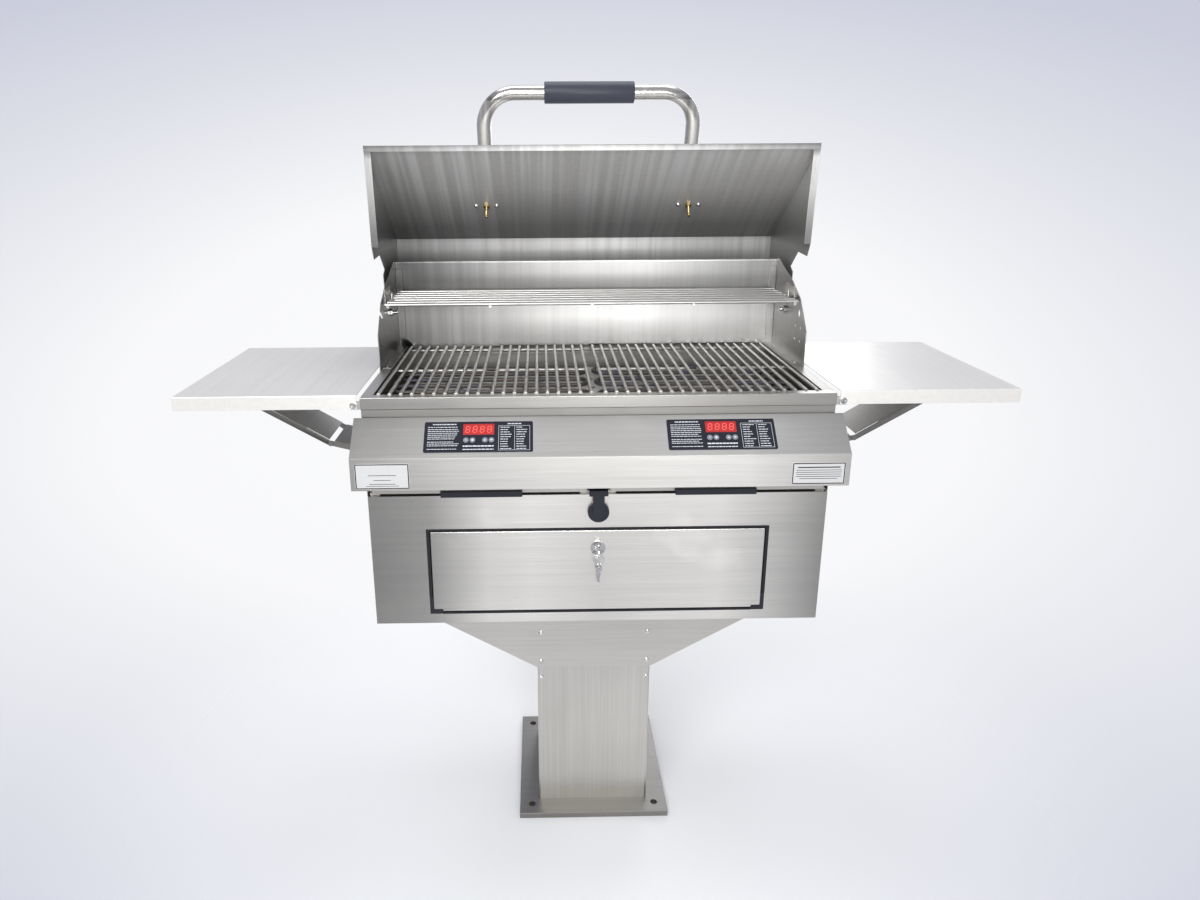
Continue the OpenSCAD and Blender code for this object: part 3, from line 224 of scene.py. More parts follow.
def tint(colour: Colour, by: float) -> Colour:
    """A colour made lighter or darker by a factor."""
    return tuple(min(1.0, c * by) for c in colour)


# Noise layers: stretch along each axis, detail, shift, and the range that a smooth step keeps.
# Mixes: the share of each layer. Reliefs are in metres.
CLOUD = ((4.0, 4.0, 4.0), 2.0, 3.1, (0.3, 0.7))
SMUDGE = ((11.0, 11.0, 11.0), 4.0, 12.7, (0.56, 0.75))
SCRATCH = ((60.0, 60.0, 1400.0), 1.0, 5.0, (0.71, 0.76))
# Painted reflection: streaks that stand in for reflected grate bars, and the mask that fades them.
PAINTED_STREAK = ((88.0, 1.2, 1.2), 1.0, 2.2, (0.35, 0.68))
PAINTED_STREAK_FADE = ((3.0, 3.0, 3.0), 1.0, 9.0, (0.2, 0.7))
WEAR = ((30.0, 30.0, 30.0), 4.0, 8.1, (0.5, 0.8))
BROADER, BROAD = 0.12, (3.0, 7.3)
PATCH = (4.0, 4.4, (0.5, 0.75))
CLOUD_GAIN = 4.0
STREAK_MIX, STREAK_RANGE = (0.65, 0.35), (0.25, 0.75)
# Lightening of the painted reflection streaks.
PAINTED_STREAK_TINT = 1.7
SMUDGE_MIX, SMUDGE_TINT = 0.25, 0.86
BRUSH_ROUGH = (0.16, 0.06, 0.05)
BRUSH_HEIGHT = (0.8, 0.5, 0.2)
BRUSH_RELIEF, TURNED_RELIEF, PIMPLE_RELIEF = 0.4 * MM, 0.3 * MM, 0.2 * MM
RING_TINT, RING_ROUGH, PATCH_ROUGH = 0.9, 0.1, 0.15
PIMPLE_ROUGH, WEAR_ROUGH, PLASTIC_SHIFT, PIMPLE_HEIGHT = 0.12, 0.1, 0.08, 0.2
PIMPLE_MIX, PIMPLE_TINT, WORN_TINT = 0.4, 1.3, 1.8
PLASTIC_SPECULAR = 0.3
GLOW_RANGE, GLOW_TINT = (0.3, 0.7), 0.86
HEAT_COLOURS = ((0.25, (0.1, 0.095, 0.09)), (0.48, (0.17, 0.15, 0.13)), (0.6, (0.12, 0.12, 0.15)),
                (0.78, (0.26, 0.23, 0.2)))


@dataclass(frozen=True)
class Brushed:
    """Brushed stainless sheet: fine streaks, soft clouds, fingers' smudges and faint scratches, with painted
    reflection streaks and painted reflection and shade where given.
    """

    name: str
    tone: Colour
    grain: Grain
    roughness: float
    contrast: float = 0.1
    cloud: float = 0.06
    # Share of painted reflection: light vertical streaks that stand in for reflected grate bars.
    bars: float = 0.0
    relief: float = 0.12
    metal: float = 1.0
    # Painted reflection and shade, multiplied into the base colour along axes.
    painted_light: PaintedLight = ()

    def build(self) -> bpy.types.Material:
        """Makes the material."""
        s = Shader(bpy.data.materials.new(self.name))
        fine = s.noise(self.grain.value, 4.0)
        broad = s.noise([v * BROADER for v in self.grain.value], *BROAD)
        cloud, smudge, scratch = (s.noise(*layer) for layer in (CLOUD, SMUDGE, SCRATCH))
        streak = (fine * STREAK_MIX[0] + broad * STREAK_MIX[1]).ramp(*STREAK_RANGE)
        share = self.cloud * CLOUD_GAIN
        dull, light = 1.0 - self.contrast - self.cloud, 1.0 + self.contrast
        colour = s.blend(streak * (1.0 - share) + cloud * share, tint(self.tone, dull),
                         tint(self.tone, light))
        colour = s.blend(smudge * SMUDGE_MIX, colour, tint(self.tone, SMUDGE_TINT))
        # Painted reflection: light vertical streaks, faded in places, that stand in for reflected grate bars.
        if self.bars:
            painted_glare = s.noise(*PAINTED_STREAK) * s.noise(*PAINTED_STREAK_FADE) * self.bars
            colour = s.blend(painted_glare, colour, tint(self.tone, PAINTED_STREAK_TINT))
        by_fine, by_smudge, by_scratch = BRUSH_ROUGH
        rough = (fine - 0.5) * by_fine + self.roughness + smudge * by_smudge - scratch * by_scratch
        by_fine, by_broad, by_scratch = BRUSH_HEIGHT
        height = fine * by_fine + broad * by_broad + scratch * by_scratch
        # The base colour carries the painted reflection and shade.
        return s.surface(Base_Color=s.shade(colour, self.painted_light), Metallic=self.metal, Roughness=rough,
                         Normal=s.bump(height, self.relief, BRUSH_RELIEF))


@dataclass(frozen=True)
class Polished:
    """Turned or drawn metal, polished, with light tool rings and patches of tarnished metal; on chrome the
    dark patches are painted reflection.
    """

    name: str
    tone: Colour
    roughness: float
    # Colour of the patches: tarnished metal, and on chrome a painted dark reflection.
    tarnish_and_painted_reflection: Colour
    patches: float
    patch_scale: float = 45.0
    relief: float = 0.1
    # Painted reflection and shade, multiplied into the base colour along axes.
    painted_light: PaintedLight = ()

    def build(self) -> bpy.types.Material:
        """Makes the material."""
        s = Shader(bpy.data.materials.new(self.name))
        rings = s.noise(Grain.EVEN.value)
        patch = s.noise((self.patch_scale,) * 3, *PATCH)
        clean = s.blend(rings, tint(self.tone, RING_TINT), self.tone)
        # Patches of tarnished metal; on chrome they are painted dark reflection.
        colour = s.blend(patch * self.patches, clean, self.tarnish_and_painted_reflection)
        rough = rings * RING_ROUGH + patch * PATCH_ROUGH + (self.roughness - RING_ROUGH / 2)
        return s.surface(Base_Color=s.shade(colour, self.painted_light), Metallic=1.0, Roughness=rough,
                         Normal=s.bump(rings, self.relief, TURNED_RELIEF))


@dataclass(frozen=True)
class Moulded:
    """Moulded plastic or rubber with a fine texture and lighter, worn patches."""

    name: str
    tone: Colour
    roughness: float
    texture: float = 1500.0
    worn: float = 0.1
    coat: float = 0.0

    def build(self) -> bpy.types.Material:
        """Makes the material."""
        s = Shader(bpy.data.materials.new(self.name))
        pimple, patch = s.noise((self.texture,) * 3, 2.0), s.noise(*WEAR)
        fresh = s.blend(pimple * PIMPLE_MIX, self.tone, tint(self.tone, PIMPLE_TINT))
        colour = s.blend(patch * self.worn, fresh, tint(self.tone, WORN_TINT))
        rough = pimple * PIMPLE_ROUGH + patch * WEAR_ROUGH + (self.roughness - PLASTIC_SHIFT)
        return s.surface(Base_Color=colour, Roughness=rough, Coat_Weight=self.coat,
                         Specular_IOR_Level=PLASTIC_SPECULAR,
                         Normal=s.bump(pimple, PIMPLE_HEIGHT, PIMPLE_RELIEF))


@dataclass(frozen=True)
class Glow:
    """Lit red film with a faint cloud of brighter and duller places."""

    name: str
    tone: Colour
    strength: float
    scale: float = 220.0
    roughness: float = 0.25
    play: float = 0.1

    def build(self) -> bpy.types.Material:
        """Makes the material."""
        s = Shader(bpy.data.materials.new(self.name))
        cloud = s.noise((self.scale,) * 3, 2.0)
        colour = s.blend(cloud.ramp(*GLOW_RANGE), tint(self.tone, GLOW_TINT), self.tone)
        return s.surface(Base_Color=colour, Roughness=cloud * self.play + self.roughness,
                         Emission_Color=colour, Emission_Strength=self.strength)


@dataclass(frozen=True)
class Sheath:
    """Heater sheath, blued and browned by heat."""

    name: str
    scale: float = 14.0
    roughness: float = 0.35
    play: float = 0.3
    metal: float = 0.85
    grain: float = 600.0
    relief: float = 0.15

    def build(self) -> bpy.types.Material:
        """Makes the material."""
        s = Shader(bpy.data.materials.new(self.name))
        heat, grain = s.noise((self.scale,) * 3, 4.0), s.noise((self.grain,) * 3, 2.0)
        colour = s.node("ShaderNodeValToRGB", {"stops": HEAT_COLOURS}, heat)
        return s.surface(Base_Color=colour, Metallic=self.metal, Roughness=heat * self.play + self.roughness,
                         Normal=s.bump(grain, self.relief, TURNED_RELIEF))


STEEL: Colour = (0.605, 0.59, 0.555)
BRIGHT: Colour = (0.94, 0.922, 0.872)
# Painted light: factors along x, y or z that paint reflection and shade into base colours. They give darker
# panel ends and brighter middles, bright front lips and flanges, shaded bands on the firebox, walls and lid,
# and light and dark bands along the handle tube.
FRONT_PAINTED_LIGHT = ((0, ((-0.41, 0.4), (-0.3, 0.52), (-0.2, 1.0), (-0.12, 1.06), (0.0, 0.9), (0.22, 1.05),
                    (0.33, 0.76), (0.41, 0.46))),)
CONSOLE_PAINTED_LIGHT = ((0, ((-0.42, 0.58), (-0.25, 0.84), (0.0, 0.88), (0.25, 1.04), (0.42, 0.78))),
                 (1, ((-0.2475, 0.92), (-0.2462, 0.92), (-0.2455, 0.78), (-0.19, 0.72))))
RAIL_PAINTED_LIGHT = ((1, ((-0.1905, 0.84), (-0.1885, 0.84), (-0.1868, 0.92), (-0.17, 0.86))),)
BOX_PAINTED_LIGHT = ((1, ((-0.1868, 0.66), (-0.1855, 0.66), (-0.184, 1.0))),)
WALL_PAINTED_LIGHT = ((0, ((-0.41, 0.42), (-0.25, 0.68), (0.0, 0.82), (0.25, 1.12), (0.41, 1.12))),
              (2, ((0.92, 1.0), (0.985, 0.92), (1.03, 0.7), (1.06, 0.5), (1.0965, 0.56), (1.0975, 1.0))))
FLANK_PAINTED_LIGHT = ((0, ((-0.42, 0.4), (0.42, 0.7))),)
LID_PAINTED_LIGHT = ((0, ((-0.42, 0.72), (-0.3, 0.92), (0.0, 1.0), (0.3, 0.98), (0.42, 0.9))),
             (2, ((1.01, 0.4), (1.13, 0.46), (1.142, 0.31), (1.17, 0.37), (1.25, 0.85), (1.324, 1.0),
                  (1.3315, 0.4))),
             (1, ((0.0318, 0.46), (0.0326, 1.0))))
SHELF_PAINTED_LIGHT = ((1, ((-0.1885, 1.0), (-0.187, 1.0), (-0.1862, 0.84), (0.197, 0.8))),)
LEG_PAINTED_LIGHT = ((-0.223, 0.5), (-0.216, 0.8), (-0.212, 1.0), (-0.208, 0.72), (-0.203, 1.0), (-0.194, 0.5),
             (-0.18, 0.9))
TUBE_PAINTED_LIGHT = ((0, LEG_PAINTED_LIGHT + tuple((-x, v) for x, v in reversed(LEG_PAINTED_LIGHT))),
              (2, ((1.415, 1.0), (1.418, 0.5), (1.425, 0.95), (1.429, 0.7), (1.434, 1.0), (1.4445, 0.6))))
FINISHES = {
    "across": Brushed("steel_brushed_across", tint(STEEL, 1.04), Grain.ACROSS, 0.34),
    "panel": Brushed("steel_front_panel", BRIGHT, Grain.ACROSS, 0.34, 0.06, painted_light=FRONT_PAINTED_LIGHT),
    "upright": Brushed("steel_brushed_upright", STEEL, Grain.UPRIGHT, 0.36),
    "deep": Brushed("steel_brushed_deep", (0.95, 0.93, 0.88), Grain.DEEP, 0.38, 0.05, metal=0.6,
                    painted_light=SHELF_PAINTED_LIGHT),
    "console": Brushed("steel_console", BRIGHT, Grain.ACROSS, 0.36, 0.05, 0.05, painted_light=CONSOLE_PAINTED_LIGHT),
    "rail": Brushed("steel_rail", tint(STEEL, 0.82), Grain.ACROSS, 0.34, 0.08, painted_light=RAIL_PAINTED_LIGHT),
    "lid": Brushed("steel_lid", (0.765, 0.757, 0.73), Grain.UPRIGHT, 0.34, 0.08, 0.06, bars=0.9, metal=0.45,
                   painted_light=LID_PAINTED_LIGHT),
    "wall": Brushed("steel_wall", (0.5, 0.496, 0.485), Grain.UPRIGHT, 0.32, 0.08, 0.06, bars=0.35,
                    relief=0.06, painted_light=WALL_PAINTED_LIGHT),
    "flank": Brushed("steel_side_wall", (0.66, 0.654, 0.635), Grain.UPRIGHT, 0.32, 0.06, 0.06, relief=0.06,
                     painted_light=FLANK_PAINTED_LIGHT),
    "brace": Brushed("steel_brace", tint(STEEL, 0.42), Grain.DEEP, 0.42, 0.1, 0.08),
    "plain": Brushed("steel_plain", tint(STEEL, 0.8), Grain.ACROSS, 0.45, 0.08),
    "box": Brushed("steel_firebox", tint(STEEL, 0.8), Grain.ACROSS, 0.45, 0.08, painted_light=BOX_PAINTED_LIGHT),
    "shield": Brushed("steel_shield", (0.8, 0.79, 0.77), Grain.ACROSS, 0.45, 0.08, metal=0.25),
    "plate": Brushed("steel_plate", tint(STEEL, 0.46), Grain.ACROSS, 0.42, 0.1, 0.1),
    "label": Brushed("label_foil", (0.66, 0.66, 0.66), Grain.ACROSS, 0.45, 0.03, metal=0.3),
    "rod": Polished("rod_bright", (0.55, 0.54, 0.515), 0.36, (0.32, 0.28, 0.25), 0.35, relief=0.04),
    "wire": Polished("wire_bright", (0.62, 0.61, 0.59), 0.34, (0.42, 0.38, 0.34), 0.2, relief=0.03),
    "tube": Polished("tube_bright", (0.74, 0.72, 0.68), 0.2, (0.5, 0.44, 0.38), 0.12, relief=0.03,
                     painted_light=TUBE_PAINTED_LIGHT),
    # Chrome's near-black patches are painted reflection.
    "chrome": Polished("chrome", (0.84, 0.84, 0.83), 0.13, (0.05, 0.05, 0.06), 0.8, 170.0, 0.05),
    "brass": Polished("brass", (0.66, 0.5, 0.22), 0.2, (0.35, 0.25, 0.12), 0.3),
    "dark": Moulded("plastic_dark", (0.015, 0.017, 0.024), 0.46, worn=0.12),
    "grip": Moulded("grip_dark", (0.042, 0.046, 0.063), 0.42, 900.0, 0.12),
    "black": Moulded("rubber_black", (0.01, 0.01, 0.012), 0.55, 1300.0),
    "film": Moulded("overlay_film", (0.012, 0.013, 0.022), 0.3, 2200.0, 0.05, 0.2),
    "ink": Moulded("ink_light", (0.6, 0.62, 0.66), 0.5, 1800.0, 0.05),
    "ink_dark": Moulded("ink_dark", (0.012, 0.012, 0.014), 0.5, 1800.0),
    "cap": Moulded("key_cap", (0.2, 0.21, 0.24), 0.4, 1400.0, 0.05, 0.2),
    "red": Glow("display_red", (0.42, 0.022, 0.022), 0.14),
    "digit": Glow("digit_red", (0.8, 0.12, 0.1), 0.32),
    "sheath": Sheath("heater_sheath"),
}


def linked(name: str, data: Any) -> bpy.types.Object:
    """New object in the scene, with the given mesh, camera or lamp."""
    made = bpy.data.objects.new(name, data)
    bpy.context.scene.collection.objects.link(made)
    return made


def geometry_tree(name: str, inputs: dict[str, str],
                  shape: Callable[[Tree, dict[str, Wire]], Wire]) -> bpy.types.NodeTree:
    """Geometry tree that ends in Realize Instances and Set Material.

    Args:
        name: Name of the tree.
        inputs: Label and kind of each input besides the geometry and the material.
        shape: Adds the tree's own nodes to the wires of its inputs and returns the last wire.

    Returns:
        The tree.
    """
    group = bpy.data.node_groups.new(name, "GeometryNodeTree")
    inputs = {"Geometry": "Geometry", **inputs, "Material": "Material"}
    for label, kind in inputs.items():
        group.interface.new_socket(label, in_out="INPUT", socket_type="NodeSocket" + kind)
    group.interface.new_socket("Geometry", in_out="OUTPUT", socket_type="NodeSocketGeometry")
    tree = Tree(group)
    given = {label: tree.node("NodeGroupInput", {}, out=label) for label in inputs}
    real = tree.node("GeometryNodeRealizeInstances", {}, shape(tree, given))
    made = tree.node("GeometryNodeSetMaterial", {}, real, Material=given["Material"])
    tree.node("NodeGroupOutput", {}, made)
    return group


def pipe_shape(tree: Tree, given: dict[str, Wire]) -> Wire:
    """Round pipe along the edges of a mesh."""
    path = tree.node("GeometryNodeMeshToCurve", {}, given["Geometry"])
    ring = tree.node("GeometryNodeCurvePrimitiveCircle", {}, Resolution=given["Sides"],
                     Radius=given["Radius"])
    return tree.node("GeometryNodeCurveToMesh", {}, path, ring, Fill_Caps=True)


def row_shape(tree: Tree, given: dict[str, Wire]) -> Wire:
    """Even row of copies of the mesh that goes in."""
    line = tree.node("GeometryNodeMeshLine", {"mode": "OFFSET"}, Count=given["Count"], Offset=given["Step"])
    return tree.node("GeometryNodeInstanceOnPoints", {}, Points=line, Instance=given["Geometry"])


def spread_shape(tree: Tree, given: dict[str, Wire]) -> Wire:
    """A head on each point of a mesh, turned to the point's facing attribute."""
    head = tree.node("GeometryNodeObjectInfo", {}, Object=given["Head"], out="Geometry")
    facing = tree.node("GeometryNodeInputNamedAttribute", {"data_type": "FLOAT_VECTOR"}, Name="facing")
    turn = tree.node("FunctionNodeAlignRotationToVector", {"axis": "Z"}, Vector=facing)
    return tree.node("GeometryNodeInstanceOnPoints", {}, Points=given["Geometry"], Instance=head,
                     Rotation=turn)


class Bench:
    """Holds the finishes and the ways in which every sub-assembly makes its pieces."""

    def __init__(self) -> None:
        """Builds all the materials and geometry trees."""
        self.finish = {key: made.build() for key, made in FINISHES.items()}
        self.pipe = geometry_tree("pipe", {"Radius": "Float", "Sides": "Int"}, pipe_shape)
        self.row = geometry_tree("row", {"Count": "Int", "Step": "Vector"}, row_shape)
        self.spread = geometry_tree("spread", {"Head": "Object"}, spread_shape)
        self.body_of = {node: body for body, group in
                        frame["record"]["behaviour"]["bodies"].items() for node in group}
        self.slot_of = {part["node"]: part["material_slot"] for part in frame["record"]["subparts"]}

    def place(self, piece: bpy.types.Object, finish: str, nodes: Sequence[str] = (),
              body: str = "", slot: str = "") -> bpy.types.Object:
        """Gives a finished piece its material and body.

        Args:
            piece: The object, with its mesh in the shared frame.
            finish: Key of its finish.
            nodes: Solids that it stands for.
            body: Body that it rides on, where it stands for none.
            slot: Not used; the slot that it would take its finish from, where it stands for none.

        Returns:
            The same object.
        """
        piece.data.materials.clear()
        piece.data.materials.append(self.finish[finish])
        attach(piece, body or self.body_of[nodes[0]])
        if nodes:
            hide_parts(*nodes)
        LOG.info("%s on %s", piece.name, body or self.body_of[nodes[0]])
        return piece

    def solid(self, name: str, build: BMesh, sharp: float = SOLID_SHARP) -> bpy.types.Object:
        """Turns a bmesh into an object with smooth faces and sharp edges past an angle."""
        bmesh.ops.recalc_face_normals(build, faces=build.faces)
        mesh = bpy.data.meshes.new(name)
        build.to_mesh(mesh)
        build.free()
        mesh.shade_smooth()
        mesh.set_sharp_from_angle(angle=math.radians(sharp))
        return linked(name, mesh)

    def form(self, node: str, finish: str, bend: float, steps: int = 2, twin: str = "",
             convex: bool = False) -> bpy.types.Object:
        """Copy of a solid with rounded bends and eased cut edges.

        Args:
            node: The solid's name.
            finish: Key of its finish.
            bend: Radius of its bends in millimetres.
            steps: Facets of each rounding.
            twin: Mirror image to round instead, so that both sides get the same faces.
            convex: Whether rims and other concave faces are split before the rounding.

        Returns:
            The piece, which stands for the solid.
        """
        build = bmesh.new()
        build.from_mesh(frame["nodes"][twin or node].data)
        if twin:
            bmesh.ops.scale(build, vec=(-1, 1, 1), verts=build.verts)
            bmesh.ops.reverse_faces(build, faces=build.faces)
        bmesh.ops.remove_doubles(build, verts=build.verts, dist=SAME_SPOT)
        bmesh.ops.dissolve_limit(build, angle_limit=FLAT, verts=build.verts, edges=build.edges,
                                 delimit={"NORMAL"})
        if convex:
            bmesh.ops.connect_verts_concave(build, faces=build.faces)
        weight = build.edges.layers.float.new("bevel_weight_edge")
        width = {face: face.calc_area() / max(edge.calc_length() for edge in face.edges)
                 for face in build.faces}
        for edge in build.edges if bend > 0 else ():
            if len(edge.link_faces) != 2 or edge.calc_face_angle(0.0) < BEND_ANGLE:
                continue
            least = min(width[face] for face in edge.link_faces)
            room = min(edge.calc_length() / EDGE_PARTS, least / FACE_PARTS,
                       bend * MM if edge.is_convex else INNER_BEND)
            edge[weight] = min(1.0, room / (bend * MM)) if edge.calc_length() > SHORT_EDGE else 0.0
        piece = self.solid(node + "_formed", build, FORM_SHARP)
        stale = piece.data.attributes.get("custom_normal")
        if stale:
            piece.data.attributes.remove(stale)
        if bend > 0:
            ease = piece.modifiers.new("ease", "BEVEL")
            ease.width = bend * MM
            ease.segments = steps
            ease.limit_method = "WEIGHT"
            ease.use_clamp_overlap = True
            ease.harden_normals = True
        return self.place(piece, finish, [node])

    def forms(self, rows: Sequence[tuple]) -> None:
        """Rounds several solids, each given by the arguments of form."""
        for row in rows:
            self.form(*row)

    def run(self, tree: bpy.types.NodeTree, name: str, points: bpy.types.Mesh, finish: str,
            **values: Any) -> bpy.types.Object:
        """Runs a geometry tree over a mesh and keeps the result as a plain mesh.

        Args:
            tree: The geometry tree.
            name: Name of the piece.
            points: Mesh that goes in.
            finish: Key of the finish.
            values: Values of the tree's own inputs by name.

        Returns:
            The finished object, without a modifier.
        """
        values["Material"] = self.finish[finish]
        source = linked(name + "_source", points)
        work = source.modifiers.new("make", "NODES")
        work.node_group = tree
        for item in tree.interface.items_tree:
            if item.item_type == "SOCKET" and item.in_out == "INPUT" and item.name in values:
                work[item.identifier] = values[item.name]
        graph = bpy.context.evaluated_depsgraph_get()
        mesh = bpy.data.meshes.new_from_object(source.evaluated_get(graph), depsgraph=graph)
        mesh.name = name
        bpy.data.objects.remove(source)
        mesh.shade_smooth()
        mesh.set_sharp_from_angle(angle=math.radians(PIPE_SHARP))
        return linked(name, mesh)

    def pipe_along(self, name: str, paths: Sequence[Sequence[Point]], radius: float, finish: str,
                   sides: int = 16) -> bpy.types.Object:
        """Pipe along one or more lines of points."""
        mesh = bpy.data.meshes.new(name)
        points, edges = [], []
        for path in paths:
            first = len(points)
            points += [tuple(p) for p in path]
            edges += [(i, i + 1) for i in range(first, first + len(path) - 1)]
        mesh.from_pydata(points, edges, [])
        return self.run(self.pipe, name, mesh, finish, Radius=radius, Sides=sides)

    def heads(self, name: str, spots: Sequence[Spot], profile: Profile, finish: str,
              socket: float = 0.0) -> bpy.types.Object:
        """Fastener heads on spots.

        Args:
            name: Name of the piece.
            spots: Each head's seat and the way that it faces.
            profile: Radius and height pairs of the head's outline, from the seat to the crown.
            finish: Key of the finish.
            socket: Radius of a six-sided recess, or 0.

        Returns:
            The finished object.
        """
        mesh = bpy.data.meshes.new(name)
        mesh.from_pydata([spot for spot, _ in spots], [], [])
        facing = mesh.attributes.new("facing", "FLOAT_VECTOR", "POINT")
        facing.data.foreach_set("vector", [c for _, way in spots for c in way])
        build = bmesh.new()
        lathe(build, profile, HEAD_SIDES, socket)
        head = self.solid(name + "_head", build)
        made = self.run(self.spread, name, mesh, finish, Head=head)
        bpy.data.objects.remove(head)
        return made


def polar(radius: float, angle: float) -> tuple[float, float]:
    """Point at a distance and an angle from the origin."""
    return radius * math.cos(angle), radius * math.sin(angle)


def lathe(build: BMesh, profile: Profile, sides: int, socket: float = 0.0) -> None:
    """Turns a profile of radius and height pairs round z, with an optional six-sided recess."""
    rings = []
    for radius, height in profile:
        rings.append([build.verts.new((*polar(radius, math.tau * i / sides), height))
                      for i in range(sides)])
    for low, high in zip(rings, rings[1:]):
        for i in range(sides):
            j = (i + 1) % sides
            build.faces.new((low[i], low[j], high[j], high[i]))
    build.faces.new(rings[0][::-1])
    if not socket:
        build.faces.new(rings[-1])
        return
    top = profile[-1][1]
    rim, floor = [], []
    for i in range(sides):
        angle = math.tau * i / sides
        reach = socket * math.cos(SIXTH / 2) / math.cos(angle % SIXTH - SIXTH / 2)
        rim.append(build.verts.new((*polar(reach, angle), top)))
        floor.append(build.verts.new((*polar(reach, angle), top * RECESS_FLOOR)))
    for i in range(sides):
        j = (i + 1) % sides
        build.faces.new((rings[-1][i], rings[-1][j], rim[j], rim[i]))
        build.faces.new((rim[i], rim[j], floor[j], floor[i]))
    build.faces.new(floor)


def slab(build: BMesh, low: Point, high: Point, place: Matrix) -> None:
    """Adds a box between two corners, carried by a matrix."""
    middle = (Vector(low) + Vector(high)) / 2
    size = Vector(high) - Vector(low)
    bmesh.ops.create_cube(build, size=1.0, matrix=place @ Matrix.Translation(middle)
                          @ Matrix.Diagonal((*size, 1.0)))


def outline(build: BMesh, points: Profile, low: float, high: float, place: Matrix) -> None:
    """Adds a flat shape drawn out from one level to another, carried by a matrix."""
    floor = [build.verts.new(place @ Vector((x, y, low))) for x, y in points]
    roof = [build.verts.new(place @ Vector((x, y, high))) for x, y in points]
    count = len(points)
    build.faces.new(floor[::-1])
    build.faces.new(roof)
    for i in range(count):
        j = (i + 1) % count
        build.faces.new((floor[i], floor[j], roof[j], roof[i]))


def filleted(corners: Sequence[Point], radius: Sequence[float], steps: int) -> list[Vector]:
    """Line through corners with a round bend at each inner one.

    Args:
        corners: The line's ends and corners.
        radius: Bend radius at each inner corner.
        steps: Points in each bend.

    Returns:
        The points of the line.
    """
    spots = [Vector(c) for c in corners]
    path = [spots[0]]
    for before, here, after, bend in zip(spots, spots[1:], spots[2:], radius):
        back, ahead = (before - here).normalized(), (after - here).normalized()
        half = back.angle(ahead) / 2
        centre = here + (back + ahead).normalized() * (bend / math.sin(half))
        first = here + back * (bend / math.tan(half)) - centre
        last = here + ahead * (bend / math.tan(half)) - centre
        turn = first.rotation_difference(last)
        for i in range(steps + 1):
            path.append(centre + turn.__class__().slerp(turn, i / steps) @ first)
    path.append(spots[-1])
    return path


def mirrored(spots: list[Spot]) -> list[Spot]:
    """Spots with their copies on the other side of the middle plane."""
    return spots + [((-p[0], p[1], p[2]), (-d[0], d[1], d[2])) for p, d in spots]


PAN_HEAD = ((4.6 * MM, 0.0), (4.6 * MM, 0.9 * MM), (4.0 * MM, 1.9 * MM), (3.0 * MM, 2.4 * MM),
            (2.4 * MM, 2.6 * MM))
DOME_NUT = ((5.0 * MM, 0.0), (5.0 * MM, 1.4 * MM), (4.5 * MM, 2.6 * MM), (3.3 * MM, 3.8 * MM),
            (1.8 * MM, 4.7 * MM), (0.6 * MM, 5.0 * MM))
RIVET_HEAD = ((4.0 * MM, 0.0), (3.8 * MM, 0.8 * MM), (3.0 * MM, 1.6 * MM), (1.8 * MM, 2.1 * MM),
              (1.4 * MM, 2.2 * MM))
HEAD_SIDES = 24


@dataclass
class Pedestal:
    """Floor plate, column and saddle."""

    column: float = 225 * MM
    skin: float = 2 * MM
    socket_r: float = 1.6 * MM
    screw_x: float = 105 * MM
    cabinet_z: float = 482.7 * MM
    cabinet_half: float = 407 * MM
    rivet_y: float = -181 * MM
    deck_z: float = 735.7 * MM
    drops: Row = (71.5 * MM, 135.5 * MM)
    low_drop: float = 174 * MM
    rivet_drops: Row = (78.3 * MM, 147 * MM, 214.9 * MM)
    console_half: float = 420.5 * MM
    console_y: float = -218.5 * MM
    console_z: float = 783 * MM
    rounded: tuple[tuple, ...] = (
        ("base_plate", "plate", 0.8), ("column_shell", "upright", 0.0), ("saddle_front", "across", 0.5),
        ("saddle_shell", "plain", 0.8))

    def build(self, bench: Bench) -> None:
        """Makes the pedestal's pieces and the panel fasteners."""
        bench.forms(self.rounded)
        face = -self.column / 2
        spots = []
        for turn in (1, -1):
            for x in (-self.screw_x, self.screw_x):
                spots += [((x, turn * (face - self.skin), self.cabinet_z - d), (0, -turn, 0))
                          for d in self.drops]
                spots.append(((x, turn * face, self.cabinet_z - self.low_drop), (0, -turn, 0)))
        screws = bench.heads("saddle_screws", spots, PAN_HEAD, "chrome", self.socket_r)
        bench.place(screws, "chrome", ["panel_screws"])
        sides = mirrored([((self.cabinet_half, self.rivet_y, self.deck_z - d), (1, 0, 0))
                          for d in self.rivet_drops]
                         + [((self.console_half, self.console_y, self.console_z), (1, 0, 0))])
        rivets = bench.heads("side_rivets", sides, RIVET_HEAD, "chrome")
        bench.place(rivets, "chrome", body="frame", slot="fasteners")


@dataclass
class Cabinet:
    """Electrics cabinet with its door, lock, latch and the trays above it."""

    rounded: tuple[tuple, ...] = (
        ("cabinet_shell", "upright", 1.0), ("cabinet_front", "panel", 1.2), ("door_seal", "black", 0.4),
        ("door_hinge_blocks", "dark", 0.6, 3), ("tray_runners", "plain", 0.4),
        ("terminal_block", "black", 0.8), ("cable_gland", "dark", 0.8, 3), ("door", "panel", 1.5),
        ("latch_base", "dark", 1.4, 3), ("latch_lever", "dark", 1.1, 3), ("lock_barrel", "chrome", 0.7, 3),
        ("door_key", "chrome", 0.35, 3), ("tray_grip_left", "dark", 1.2, 3),
        ("tray_grip_right", "dark", 1.2, 3), ("grease_tray_left", "plain", 0.8, 2, "grease_tray_right", True),
        ("grease_tray_right", "plain", 0.8, 2, "", True), ("key_ring", "chrome", 0.0))

    def build(self, bench: Bench) -> None:
        """Makes the cabinet's pieces."""
        bench.forms(self.rounded)


